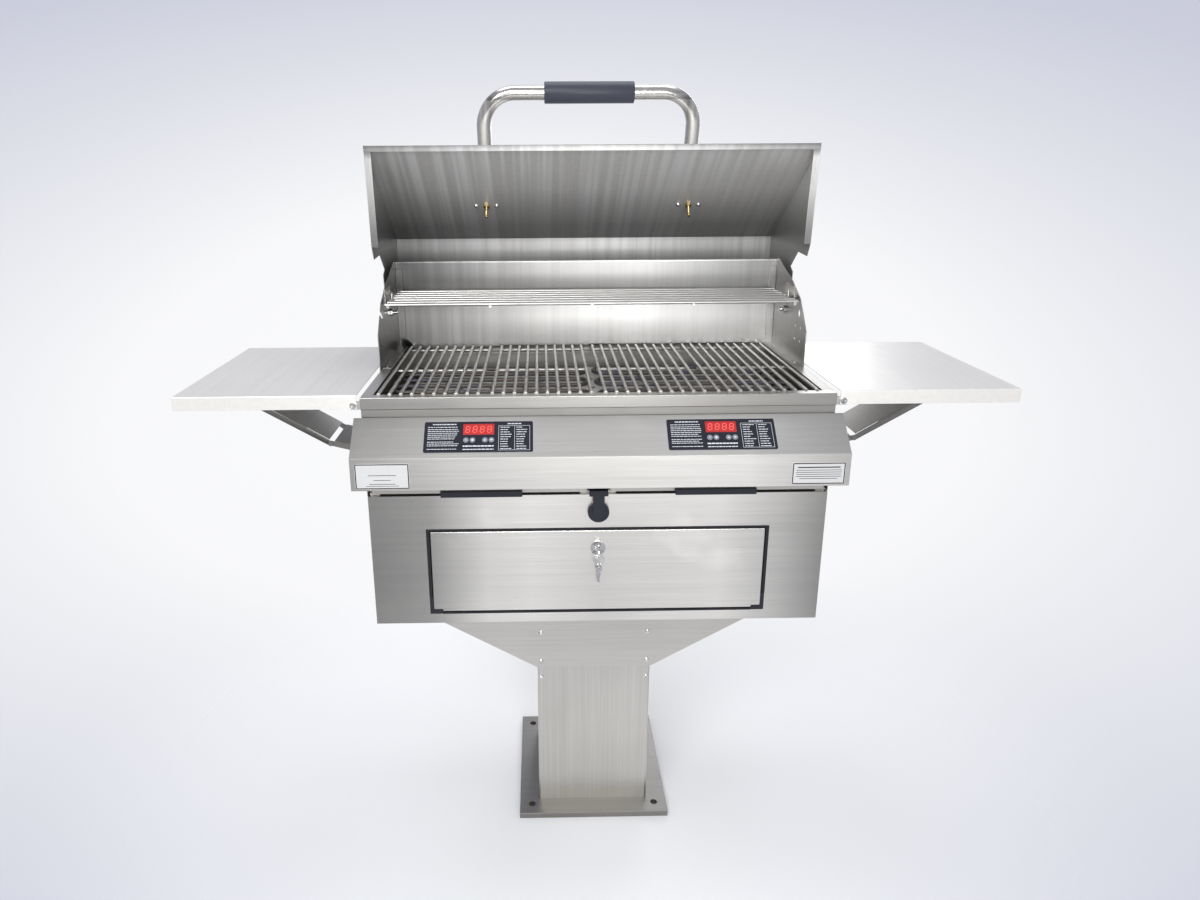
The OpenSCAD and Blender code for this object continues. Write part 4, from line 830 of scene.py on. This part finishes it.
# Outlines of the buttons' signs in millimetres: bar, disc, and arrows up and down.
DISC_R, DISC_SIDES = 2.0, 16
SIGNS = {
    "on": ((-0.4, -1.9), (0.4, -1.9), (0.4, 1.9), (-0.4, 1.9)),
    "off": tuple(polar(DISC_R, math.tau * i / DISC_SIDES) for i in range(DISC_SIDES)),
    "up": ((-2.3, -1.3), (2.3, -1.3), (0.0, 1.8)),
    "down": ((-2.3, 1.3), (0.0, -1.8), (2.3, 1.3))}


@dataclass
class Console:
    """Control console with its overlays, displays, buttons and plates."""

    middle: Point = (0.0, -218.5 * MM, 854.75 * MM)
    slope: float = math.atan2(55, 57)
    control_x: float = 206 * MM
    film: float = 0.8 * MM
    ink: float = 0.06 * MM
    seed: int = 4
    word: tuple[float, float] = (2.0, 6.5)
    shortest: float = 1.5
    space: float = 0.9
    heading: Row = (-78, -38, 24, 1.9)
    titles: tuple[Row, ...] = (
        (-26, 26, -17.5, 2.3), (-26, 26, -23.6, 1.6), (49, 73, 24.4, 1.9))
    text_rows: Row = (18.6, 14.4, 10.9, 7.3, 3.7, 0.1, -3.5, -9.4, -12.9, -16.4, -22.8)
    text: Row = (-86, -33, 7, 1.15)
    table_x: Row = (34, 61, 86.6)
    table_y: tuple[float, float] = (20.6, -25.4)
    table_end: float = 87
    table_top: float = 17.6
    table_row: float = 4.5
    table_rows: int = 10
    cells: tuple[Row, ...] = ((37, 58, 9, 1.3), (64, 83, 8, 1.3))
    hair: float = 0.25
    digit_w: float = 6.4 * MM
    digit_h: float = 11.5 * MM
    digit_pitch: float = 12.2 * MM
    digit_lean: float = 0.12
    digit_count: int = 4
    digit_t: float = 0.75 * MM
    digit_gap: float = 0.35 * MM
    digit_levels: tuple[float, float] = (0.3 * MM, 0.5 * MM)
    display_up: float = 14.4 * MM
    button_y: float = -6.3 * MM
    button_x: Row = (-21 * MM, -10 * MM, 11 * MM, 22 * MM)
    button_top: float = 1.6 * MM
    plates: tuple[Row, ...] = (
        (-367 * MM, 796.25 * MM, 91 * MM, 45.5 * MM), (367 * MM, 793.25 * MM, 90 * MM, 39 * MM))
    rules: tuple[tuple[Row, ...], ...] = (
        ((0.26, 2.0, 1.0), (0.16, -6.5, 0.9), (0.24, -13.5, 0.9), (0.3, -17.0, 0.8)),
        ((0.4, 11.0, 2.0), (0.43, 6.0, 0.9), (0.43, 2.2, 0.9), (0.42, -1.6, 0.9), (0.43, -5.4, 0.9),
         (0.36, -9.2, 0.9)))
    border: float = 1.7 * MM
    inset: float = 1.5 * MM
    face: float = -247 * MM
    plate_t: float = 0.8 * MM
    rounded: tuple[tuple, ...] = (
        ("console_shell", "console", 2.0, 3), ("control_overlays", "film", 0.2), ("displays", "red", 0.2),
        ("controller_boxes", "dark", 0.8), ("nameplates", "label", 0.2),
        *((f"button_{hand}_{key}", "cap", 0.7, 3) for _, hand in SIDES for key in SIGNS))

    def on_slope(self, side: int) -> Matrix:
        """Place of one controller's middle on the sloped face."""
        return (Matrix.Translation(self.middle) @ Matrix.Rotation(self.slope, 4, "X")
                @ Matrix.Translation((side * self.control_x, 0, 0)))

    def bar(self, build: BMesh, place: Matrix, low: tuple[float, float],
            high: tuple[float, float]) -> None:
        """Flat bar of ink on an overlay between two corners in millimetres."""
        slab(build, (low[0] * MM, low[1] * MM, self.film),
             (high[0] * MM, high[1] * MM, self.film + self.ink), place)

    def words(self, build: BMesh, place: Matrix, dice: random.Random,
              line: Row) -> None:
        """One line of plain bars, like words too small to read.

        Args:
            build: The mesh that the bars go into.
            place: Matrix of the overlay.
            dice: Source of the bars' lengths.
            line: Left end, right end, middle height and bar height in millimetres.
        """
        x, end, y, tall = line
        while x < end - self.shortest:
            long = min(dice.uniform(*self.word), end - x)
            self.bar(build, place, (x, y - tall / 2), (x + long, y + tall / 2))
            x += long + self.space

    def ragged(self, build: BMesh, place: Matrix, dice: random.Random,
               line: Row, y: float) -> None:
        """Line of words at a height, given its left end, right end, the end's play and bar height."""
        x, end, play, tall = line
        self.words(build, place, dice, (x, end - dice.uniform(0, play), y, tall))

    def graphics(self, bench: Bench) -> None:
        """Light bars and table rules of both overlays."""
        dice = random.Random(self.seed)
        build = bmesh.new()
        top, foot = self.table_y
        for side in (-1, 1):
            place = self.on_slope(side)
            self.words(build, place, dice, self.heading)
            for y in self.text_rows:
                self.ragged(build, place, dice, self.text, y)
            for line in self.titles:
                self.words(build, place, dice, line)
            for y in self.table_y:
                self.bar(build, place, (self.table_x[0], y - self.hair), (self.table_end, y + self.hair))
            for x in self.table_x:
                self.bar(build, place, (x - self.hair, foot), (x + self.hair, top))
            for i in range(self.table_rows):
                for cell in self.cells:
                    self.ragged(build, place, dice, cell, self.table_top - i * self.table_row)
        bench.place(bench.solid("overlay_print", build), "ink", body="frame", slot="overlay_film")

    def signs(self, bench: Bench) -> None:
        """Sign on top of each button."""
        for side, hand in SIDES:
            for x, (key, shape) in zip(self.button_x, SIGNS.items()):
                build = bmesh.new()
                place = self.on_slope(side) @ Matrix.Translation((x, self.button_y, self.button_top))
                outline(build, [(px * MM, py * MM) for px, py in shape], -self.ink, self.ink, place)
                bench.place(bench.solid(f"sign_{hand}_{key}", build), "ink",
                            body=bench.body_of[f"button_{hand}_{key}"], slot="key_caps")

    def digits(self, bench: Bench) -> None:
        """Seven-bar figures in both displays, all reading 8."""
        w, h, t = self.digit_w / 2, self.digit_h / 2, self.digit_t
        spots = [(0, h, 0), (0, 0, 0), (0, -h, 0), (-w, h / 2, 1), (w, h / 2, 1), (-w, -h / 2, 1),
                 (w, -h / 2, 1)]
        build = bmesh.new()
        for side in (-1, 1):
            for i in range(self.digit_count):
                shift = (i - (self.digit_count - 1) / 2) * self.digit_pitch
                lean = Matrix.Identity(4)
                lean[0][1] = self.digit_lean
                place = self.on_slope(side) @ Matrix.Translation((shift, self.display_up, 0)) @ lean
                for x, y, upright in spots:
                    long = (h / 2 if upright else w) - self.digit_gap
                    bar = [(-long, 0), (-long + t, -t), (long - t, -t), (long, 0), (long - t, t),
                           (-long + t, t)]
                    if upright:
                        bar = [(-b, a) for a, b in bar]
                    outline(build, [(x + a, y + b) for a, b in bar], *self.digit_levels, place)
        bench.place(bench.solid("display_figures", build), "digit", body="frame", slot="red_digits")

    def borders(self, bench: Bench) -> None:
        """Dark border and a few plain rules on the two plates."""
        build = bmesh.new()
        turn = Matrix.Rotation(math.pi / 2, 4, "X")
        line = self.border / 2
        for x, z, w, h in self.plates:
            place = Matrix.Translation((x, self.face - self.plate_t, z)) @ turn
            half_w, half_h = w / 2 - self.inset, h / 2 - self.inset
            for sign in (-1, 1):
                edge = sign * half_h
                slab(build, (-half_w, edge - line, 0), (half_w, edge + line, self.ink), place)
                edge = sign * half_w
                slab(build, (edge - line, -half_h, 0), (edge + line, half_h, self.ink), place)
            for share, y, tall in self.rules[x > 0]:
                slab(build, (-w * share, (y - tall / 2) * MM, 0), (w * share, (y + tall / 2) * MM, self.ink),
                     place)
        bench.place(bench.solid("plate_rules", build), "ink_dark", body="frame", slot="plate")

    def build(self, bench: Bench) -> None:
        """Makes the console's pieces."""
        bench.forms(self.rounded)
        self.graphics(bench)
        self.signs(bench)
        self.digits(bench)
        self.borders(bench)


@dataclass
class Firebox:
    """Firebox with its heaters, shield, grates, walls and warming rack."""

    front: float = -190 * MM
    rail: float = 917 * MM
    depth: float = 409.5 * MM
    bar_r: float = 3.2 * MM
    bar_pitch: float = 19.05 * MM
    bars: int = 10
    grate_pitch: float = 196 * MM
    grates: int = 4
    rack_half: float = 397 * MM
    rack_r: float = 3 * MM
    rack_z: float = 1039.5 * MM
    rack_front: float = 27 * MM
    rack_step: float = 28 * MM
    rack_rods: int = 7
    rack_ties: int = 5
    hook_y: float = 72 * MM
    hook_h: float = 16 * MM
    sink: float = 0.6 * MM
    coil_w: float = 372 * MM
    coil_pitch: float = 44 * MM
    coil_r: float = 4.2 * MM
    coil_x: float = 194 * MM
    coil_z: float = 887 * MM
    coil_runs: int = 6
    bend_slack: tuple[float, float] = (1.05, 0.999)
    floor_z: float = 768.5 * MM
    bar_ends: tuple[float, float] = (19.3 * MM, 397.5 * MM)
    bar_top: float = 3 * MM
    cross_inset: float = 10 * MM
    bend_steps: int = 10
    rounded: tuple[tuple, ...] = (
        ("firebox_shell", "box", 1.0), ("front_rail", "rail", 1.6), ("rear_wall", "wall", 1.2),
        ("side_wall_left", "flank", 0.6), ("side_wall_right", "flank", 0.6),
        ("element_brackets", "plain", 0.3), ("drip_shield", "shield", 0.6),
        ("rack_brackets", "across", 0.5), ("lid_pivot_bolts", "chrome", 0.5),
        ("shelf_brackets", "across", 0.6), ("shelf_pivot_screws", "chrome", 0.4))

    def grate(self, bench: Bench) -> None:
        """Four grates of round bars on three cross rods each."""
        y0, y1 = (self.front + end for end in self.bar_ends)
        z = self.rail + self.bar_top - self.bar_r
        half = (self.bars - 1) * self.bar_pitch / 2
        left = -(self.grates - 1) * self.grate_pitch / 2
        bar = bench.pipe_along("bar", [[(left - half, y0, z), (left - half, y1, z)]], self.bar_r, "rod")
        row = bench.run(bench.row, "bar_row", bar.data, "rod", Count=self.bars,
                        Step=(self.bar_pitch, 0.0, 0.0))
        low = z - 2 * self.bar_r + self.sink
        run = (y1 - y0 - 2 * self.cross_inset) / 2
        rods = [[(left + end * (half + self.bar_r), y0 + self.cross_inset + j * run, low)
                 for end in (-1, 1)] for j in range(3)]
        cross = bench.pipe_along("cross_rods", rods, self.bar_r, "rod")
        build = bmesh.new()
        build.from_mesh(row.data)
        build.from_mesh(cross.data)
        one = bench.solid("one_grate", build, PIPE_SHARP)
        four = bench.run(bench.row, "grate_bars", one.data, "rod", Count=self.grates,
                         Step=(self.grate_pitch, 0.0, 0.0))
        for scrap in (bar, row, cross, one):
            bpy.data.objects.remove(scrap)
        bench.place(four, "rod", ["cooking_grates"])

    def rack(self, bench: Bench) -> None:
        """Warming rack of long rods, ties and hooked end wires."""
        lines = []
        for i in range(self.rack_rods):
            y = self.rack_front + i * self.rack_step
            lines.append([(x, y, self.rack_z) for x in (-self.rack_half, self.rack_half)])
        last = self.rack_front + (self.rack_rods - 1) * self.rack_step + self.rack_r
        for i in range(self.rack_ties):
            x = (i / (self.rack_ties - 1) - 0.5) * (2 * self.rack_half - 4 * self.rack_r)
            z = self.rack_z - self.rack_r - self.sink
            lines.append([(x, self.rack_front - self.rack_r, z), (x, last, z)])
        for side in (-1, 1):
            x = side * (self.rack_half - 2 * self.rack_r)
            lines.append([(x, self.hook_y, self.rack_z - self.rack_r),
                          (x, self.hook_y, self.rack_z + self.hook_h)])
        bench.place(bench.pipe_along("rack_wires", lines, self.rack_r, "wire"), "wire", ["warming_rack"])

    def coils(self, bench: Bench) -> None:
        """Two serpentine heaters with their cold legs."""
        runs, pitch = self.coil_runs, self.coil_pitch
        y0 = self.front + (self.depth - (runs - 1) * pitch) / 2
        half = self.coil_w / 2
        entry, turn = self.coil_r * self.bend_slack[0], pitch / 2 * self.bend_slack[1]
        paths = []
        for side in (-1, 1):
            middle = side * self.coil_x
            start = middle + side * (half - pitch / 2)
            corners: list[Point] = [(start, y0, self.floor_z), (start, y0, self.coil_z)]
            for i in range(runs - 1):
                x = middle + (-side * half if i % 2 == 0 else side * half)
                corners += [(x, y0 + i * pitch, self.coil_z), (x, y0 + (i + 1) * pitch, self.coil_z)]
            last = y0 + (runs - 1) * pitch
            corners += [(start, last, self.coil_z), (start, last, self.floor_z)]
            paths.append(filleted(corners, [entry] + [turn] * (2 * (runs - 1)) + [entry],
                                  self.bend_steps))
        bench.place(bench.pipe_along("heater_coils", paths, self.coil_r, "sheath"), "sheath",
                    ["heating_elements"])

    def build(self, bench: Bench) -> None:
        """Makes the firebox's pieces."""
        bench.forms(self.rounded)
        self.grate(bench)
        self.rack(bench)
        self.coils(bench)


@dataclass
class Lid:
    """Open lid with its handle."""

    pivot: tuple[float, float] = (132 * MM, 1007 * MM)
    rim: tuple[float, float] = (-197 * MM, 923 * MM)
    face: float = math.radians(52.7)
    swing: float = math.radians(87)
    foot_up: float = 203 * MM
    standoff: float = 34 * MM
    grip: tuple[float, float] = (164 * MM, 1430 * MM)
    half: float = 208 * MM
    bends: tuple[float, float] = (42 * MM, 64 * MM)
    tube_r: float = 14 * MM
    foot_t: float = 3 * MM
    skin: float = 1.5 * MM
    dome_pitch: float = 42 * MM
    grip_len: float = 175 * MM
    grip_r: float = 20.4 * MM
    grip_ease: float = 1.6 * MM
    plate: tuple[float, float] = (21 * MM, 27.5 * MM)
    plate_r: float = 10.5 * MM
    corner_steps: int = 8
    bend_steps: int = 16
    tube_sides: int = 40
    grip_sides: int = 48
    ease_share: float = 0.3
    rounded: tuple[tuple, ...] = (("lid_skin", "lid", 1.4), ("lid_ends", "lid", 0.8))
    stud: tuple = ("handle_studs", "brass", 0.35)

    def foot(self) -> tuple[Vector, Vector]:
        """Handle foot on the open lid and the way that it faces, as depth and height."""
        spot = Vector(self.rim) + Vector(polar(self.foot_up, self.face))
        arm = spot - Vector(self.pivot)
        arm.rotate(Matrix.Rotation(-self.swing, 2))
        turned = arm + Vector(self.pivot)
        out = self.face - self.swing + math.pi / 2
        return turned, Vector(polar(1.0, out))

    def studs(self, bench: Bench) -> None:
        """Brass nuts on their studs, with a bright dome nut on each side."""
        nuts = bench.form(*self.stud)
        build = bmesh.new()
        build.from_mesh(nuts.data)
        beside = [v for v in build.verts if abs(abs(v.co.x) - self.half) > self.dome_pitch / 4]
        bmesh.ops.delete(build, geom=beside, context="VERTS")
        build.to_mesh(nuts.data)
        build.free()
        foot, out = self.foot()
        seat = foot - out * self.skin
        spots = [((side * (self.half + shift), *seat), (0.0, -out[0], -out[1]))
                 for side in (-1, 1) for shift in (-self.dome_pitch / 2, self.dome_pitch / 2)]
        bench.place(bench.heads("dome_nuts", spots, DOME_NUT, "chrome"), "chrome",
                    body=bench.body_of["handle_studs"], slot=bench.slot_of["handle_studs"])

    def handle(self, bench: Bench) -> None:
        """Bent tube of the handle, its two foot plates and the sleeve with rounded ends."""
        foot, out = self.foot()
        elbow = foot + out * self.standoff
        side = [(self.half, *foot), (self.half, *elbow), (self.half, *self.grip)]
        corners = side + [(-x, y, z) for x, y, z in reversed(side)]
        path = filleted(corners, self.bends + self.bends[::-1], self.bend_steps)
        tube = bench.pipe_along("handle_pipe", [path], self.tube_r, "tube", self.tube_sides)
        build = bmesh.new()
        build.from_mesh(tube.data)
        bpy.data.objects.remove(tube)
        axis = Vector((0, out[0], out[1]))
        turn = axis.to_track_quat("Z", "X").to_matrix().to_4x4()
        wide, tall = (half - self.plate_r for half in self.plate)
        shape = []
        for quarter, (cx, cy) in enumerate(((wide, tall), (-wide, tall), (-wide, -tall), (wide, -tall))):
            for i in range(self.corner_steps + 1):
                x, y = polar(self.plate_r, math.pi / 2 * (quarter + i / self.corner_steps))
                shape.append((cx + x, cy + y))
        for sign in (-1, 1):
            outline(build, shape, 0, self.foot_t, Matrix.Translation((sign * self.half, *foot)) @ turn)
        bench.place(bench.solid("handle_pipe_feet", build, PIPE_SHARP), "tube", ["handle_tube"])
        build = bmesh.new()
        r, long, ease = self.grip_r, self.grip_len / 2, self.grip_ease
        start = ease * self.ease_share
        ends = [(r - ease, -long), (r - start, -long + start), (r, -long + ease)]
        profile = [(self.tube_r, -long), *ends, *((a, -b) for a, b in reversed(ends)), (self.tube_r, long)]
        lathe(build, profile, self.grip_sides)
        bmesh.ops.transform(build, matrix=Matrix.Translation((0, *self.grip))
                            @ Matrix.Rotation(math.pi / 2, 4, "Y"), verts=build.verts)
        bench.place(bench.solid("handle_sleeve", build), "grip", ["handle_grip"])

    def build(self, bench: Bench) -> None:
        """Makes the lid's pieces."""
        bench.forms(self.rounded)
        self.studs(bench)
        self.handle(bench)


@dataclass
class Shelves:
    """Fold-down side shelves with their braces."""

    knee: tuple[float, float] = (502 * MM, 787 * MM)
    strut: tuple[float, float] = (692 * MM, 900.6 * MM)
    sides: tuple[float, float] = (-48 * MM, 57 * MM)
    web_run: tuple[float, float] = (6 * MM, 55 * MM)
    web: tuple[float, float] = (5.85 * MM, 6.45 * MM)
    rounded: tuple[tuple, ...] = (
        ("shelf", "deep", 1.8, 3), ("brace_upper", "brace", 0.6, 2), ("brace_lower", "brace", 0.6, 2))

    def build(self, bench: Bench) -> None:
        """Makes the shelves' pieces."""
        for sign, hand in SIDES:
            for piece, finish, bend, steps in self.rounded:
                twin = f"{piece}_left" if sign > 0 else ""
                bench.form(f"{piece}_{hand}", finish, bend, steps, twin, convex=True)
            self.web_end(bench, hand, sign)

    def web_end(self, bench: Bench, hand: str, sign: int) -> None:
        """Thin end of the upper link's web, from the solid's web to the knee."""
        along = math.atan2(self.strut[1] - self.knee[1], self.strut[0] - self.knee[0])
        place = (Matrix.Diagonal((sign, 1, 1, 1)) @ Matrix.Translation((self.knee[0], 0, self.knee[1]))
                 @ Matrix.Rotation(-along, 4, "Y"))
        build = bmesh.new()
        slab(build, (self.web_run[0], self.sides[0], self.web[0]),
             (self.web_run[1], self.sides[1], self.web[1]), place)
        bench.place(bench.solid(f"web_end_{hand}", build), "brace",
                    body=bench.body_of[f"brace_upper_{hand}"], slot=bench.slot_of[f"brace_upper_{hand}"])


@dataclass
class Studio:
    """Camera, lamps, pale floor and background."""

    lens: float = 24.21
    sensor: float = 36.0
    clip: tuple[float, float] = (0.05, 60.0)
    shift: tuple[float, float] = (0.0392, -0.0412)
    spot: Point = (-98.3 * MM, -1511.6 * MM, 1295.0 * MM)
    pitch: float = math.radians(16.277)
    yaw: float = math.radians(0.818)
    roll: float = math.radians(-0.367)
    glow_form: tuple[Point, Point] = ((0.85, 0.0, 1.62), (0.0, 0.0, 0.44))
    glow_turn: tuple[float, float] = (-0.3, 0.4)
    glow: tuple[tuple[float, Colour], ...] = (
        (0.0, (0.965, 0.967, 0.975)), (0.4, (0.94, 0.942, 0.957)), (0.66, (0.72, 0.735, 0.8)),
        (0.8, (0.604, 0.617, 0.723)), (1.0, (0.55, 0.56, 0.65)))
    behind: Colour = (0.5, 0.505, 0.54)
    fill: Colour = (0.56, 0.57, 0.6)
    floor_r: float = 7.0
    floor_sides: int = 96
    floor_mix: float = 0.3
    floor_tones: tuple[Colour, Colour] = ((0.87, 0.872, 0.887), (0.84, 0.843, 0.862))
    floor_fade: tuple[float, float] = (0.3, 1.3)
    lamps: tuple[tuple[str, Point, Point, tuple[float, float], float], ...] = (
        ("key", (-1.1, -2.6, 2.5), (0.0, 0.0, 0.8), (1.6, 1.2), 50.0),
        ("front", (0.25, -3.4, 1.2), (0.0, 0.0, 0.75), (0.9, 1.6), 46.0),
        ("top", (0.0, 0.6, 3.2), (0.0, 0.1, 0.9), (2.2, 1.6), 30.0),
        ("rear", (0.9, 3.0, 1.9), (0.0, 0.0, 0.8), (1.5, 1.5), 22.0))

    def camera(self) -> None:
        """Places the camera where the photograph was taken from."""
        ahead = Vector((math.sin(self.yaw) * math.cos(self.pitch), math.cos(self.yaw) * math.cos(self.pitch),
                        -math.sin(self.pitch)))
        right = Vector((math.cos(self.yaw), -math.sin(self.yaw), 0))
        up = right.cross(ahead)
        level = math.cos(self.roll) * right + math.sin(self.roll) * up
        top = -math.sin(self.roll) * right + math.cos(self.roll) * up
        data = bpy.data.cameras.new("view")
        data.lens, data.sensor_width, data.sensor_fit = self.lens, self.sensor, "HORIZONTAL"
        data.shift_x, data.shift_y = self.shift
        data.clip_start, data.clip_end = self.clip
        camera = linked("view", data)
        matrix = Matrix((level, top, -ahead)).transposed().to_4x4()
        matrix.translation = self.spot
        camera.matrix_world = matrix
        bpy.context.scene.camera = camera

    def lamp(self, name: str, spot: Point, aim: Point, size: tuple[float, float], power: float) -> None:
        """Adds a rectangular soft lamp that looks at a point."""
        data = bpy.data.lights.new(name, "AREA")
        data.shape, data.size, data.size_y, data.energy = "RECTANGLE", size[0], size[1], power
        turn = (Vector(aim) - Vector(spot)).to_track_quat("-Z", "Y")
        linked(name, data).matrix_world = Matrix.Translation(spot) @ turn.to_matrix().to_4x4()

    def world(self) -> None:
        """Pale background, paler behind the grill, that metal shows too; the fill light is plainer."""
        s = Shader(bpy.data.worlds.new("studio"), "Generated")
        apart = s.node("ShaderNodeVectorMath", {"operation": "MULTIPLY_ADD"}, s.place, *self.glow_form)
        reach = s.node("ShaderNodeVectorMath", {"operation": "LENGTH"}, apart, out="Value")
        glow = s.node("ShaderNodeValToRGB", {"stops": self.glow}, reach)
        depth = s.node("ShaderNodeSeparateXYZ", {}, s.place, out="Y")
        ahead = s.node("ShaderNodeMapRange", {}, depth, *self.glow_turn)
        seen = s.node("ShaderNodeLightPath", {}, out="Is Camera Ray")
        for kind in ("Is Glossy Ray", "Is Transmission Ray"):
            seen = seen.math("MAXIMUM", s.node("ShaderNodeLightPath", {}, out=kind))
        fill = s.node("ShaderNodeBackground", {}, self.fill)
        shown = s.node("ShaderNodeBackground", {}, s.blend(ahead, self.behind, glow))
        s.node("ShaderNodeOutputWorld", {}, s.node("ShaderNodeMixShader", {}, seen, fill, shown))
        bpy.context.scene.world = s.owner

    def floor(self) -> None:
        """Pale round floor that fades into the background at its edge."""
        build = bmesh.new()
        bmesh.ops.create_circle(build, cap_ends=True, segments=self.floor_sides,
                                radius=self.floor_r)
        mesh = bpy.data.meshes.new("floor")
        build.to_mesh(mesh)
        build.free()
        s = Shader(bpy.data.materials.new("floor_pale"))
        reach = s.node("ShaderNodeVectorMath", {"operation": "LENGTH"}, s.place, out="Value")
        colour = s.blend(s.noise((3.0, 3.0, 3.0), 2.0) * self.floor_mix, *self.floor_tones)
        matt = s.node("ShaderNodeBsdfDiffuse", {}, colour)
        clear = s.node("ShaderNodeBsdfTransparent", {})
        faded = s.node("ShaderNodeMixShader", {}, reach.ramp(*self.floor_fade), matt, clear)
        s.node("ShaderNodeOutputMaterial", {}, faded)
        mesh.materials.append(s.owner)
        linked("floor", mesh)

    def build(self) -> None:
        """Sets up the studio."""
        self.camera()
        self.world()
        self.floor()
        for lamp in self.lamps:
            self.lamp(*lamp)
        bpy.context.scene.view_settings.view_transform = "Standard"


def main() -> None:
    """Builds the studio and every sub-assembly."""
    logging.basicConfig(level=logging.INFO, format="%(name)s: %(message)s")
    Studio().build()
    bench = Bench()
    for part in (Pedestal(), Cabinet(), Console(), Firebox(), Lid(), Shelves()):
        part.build(bench)


if __name__ == "__main__":
    main()
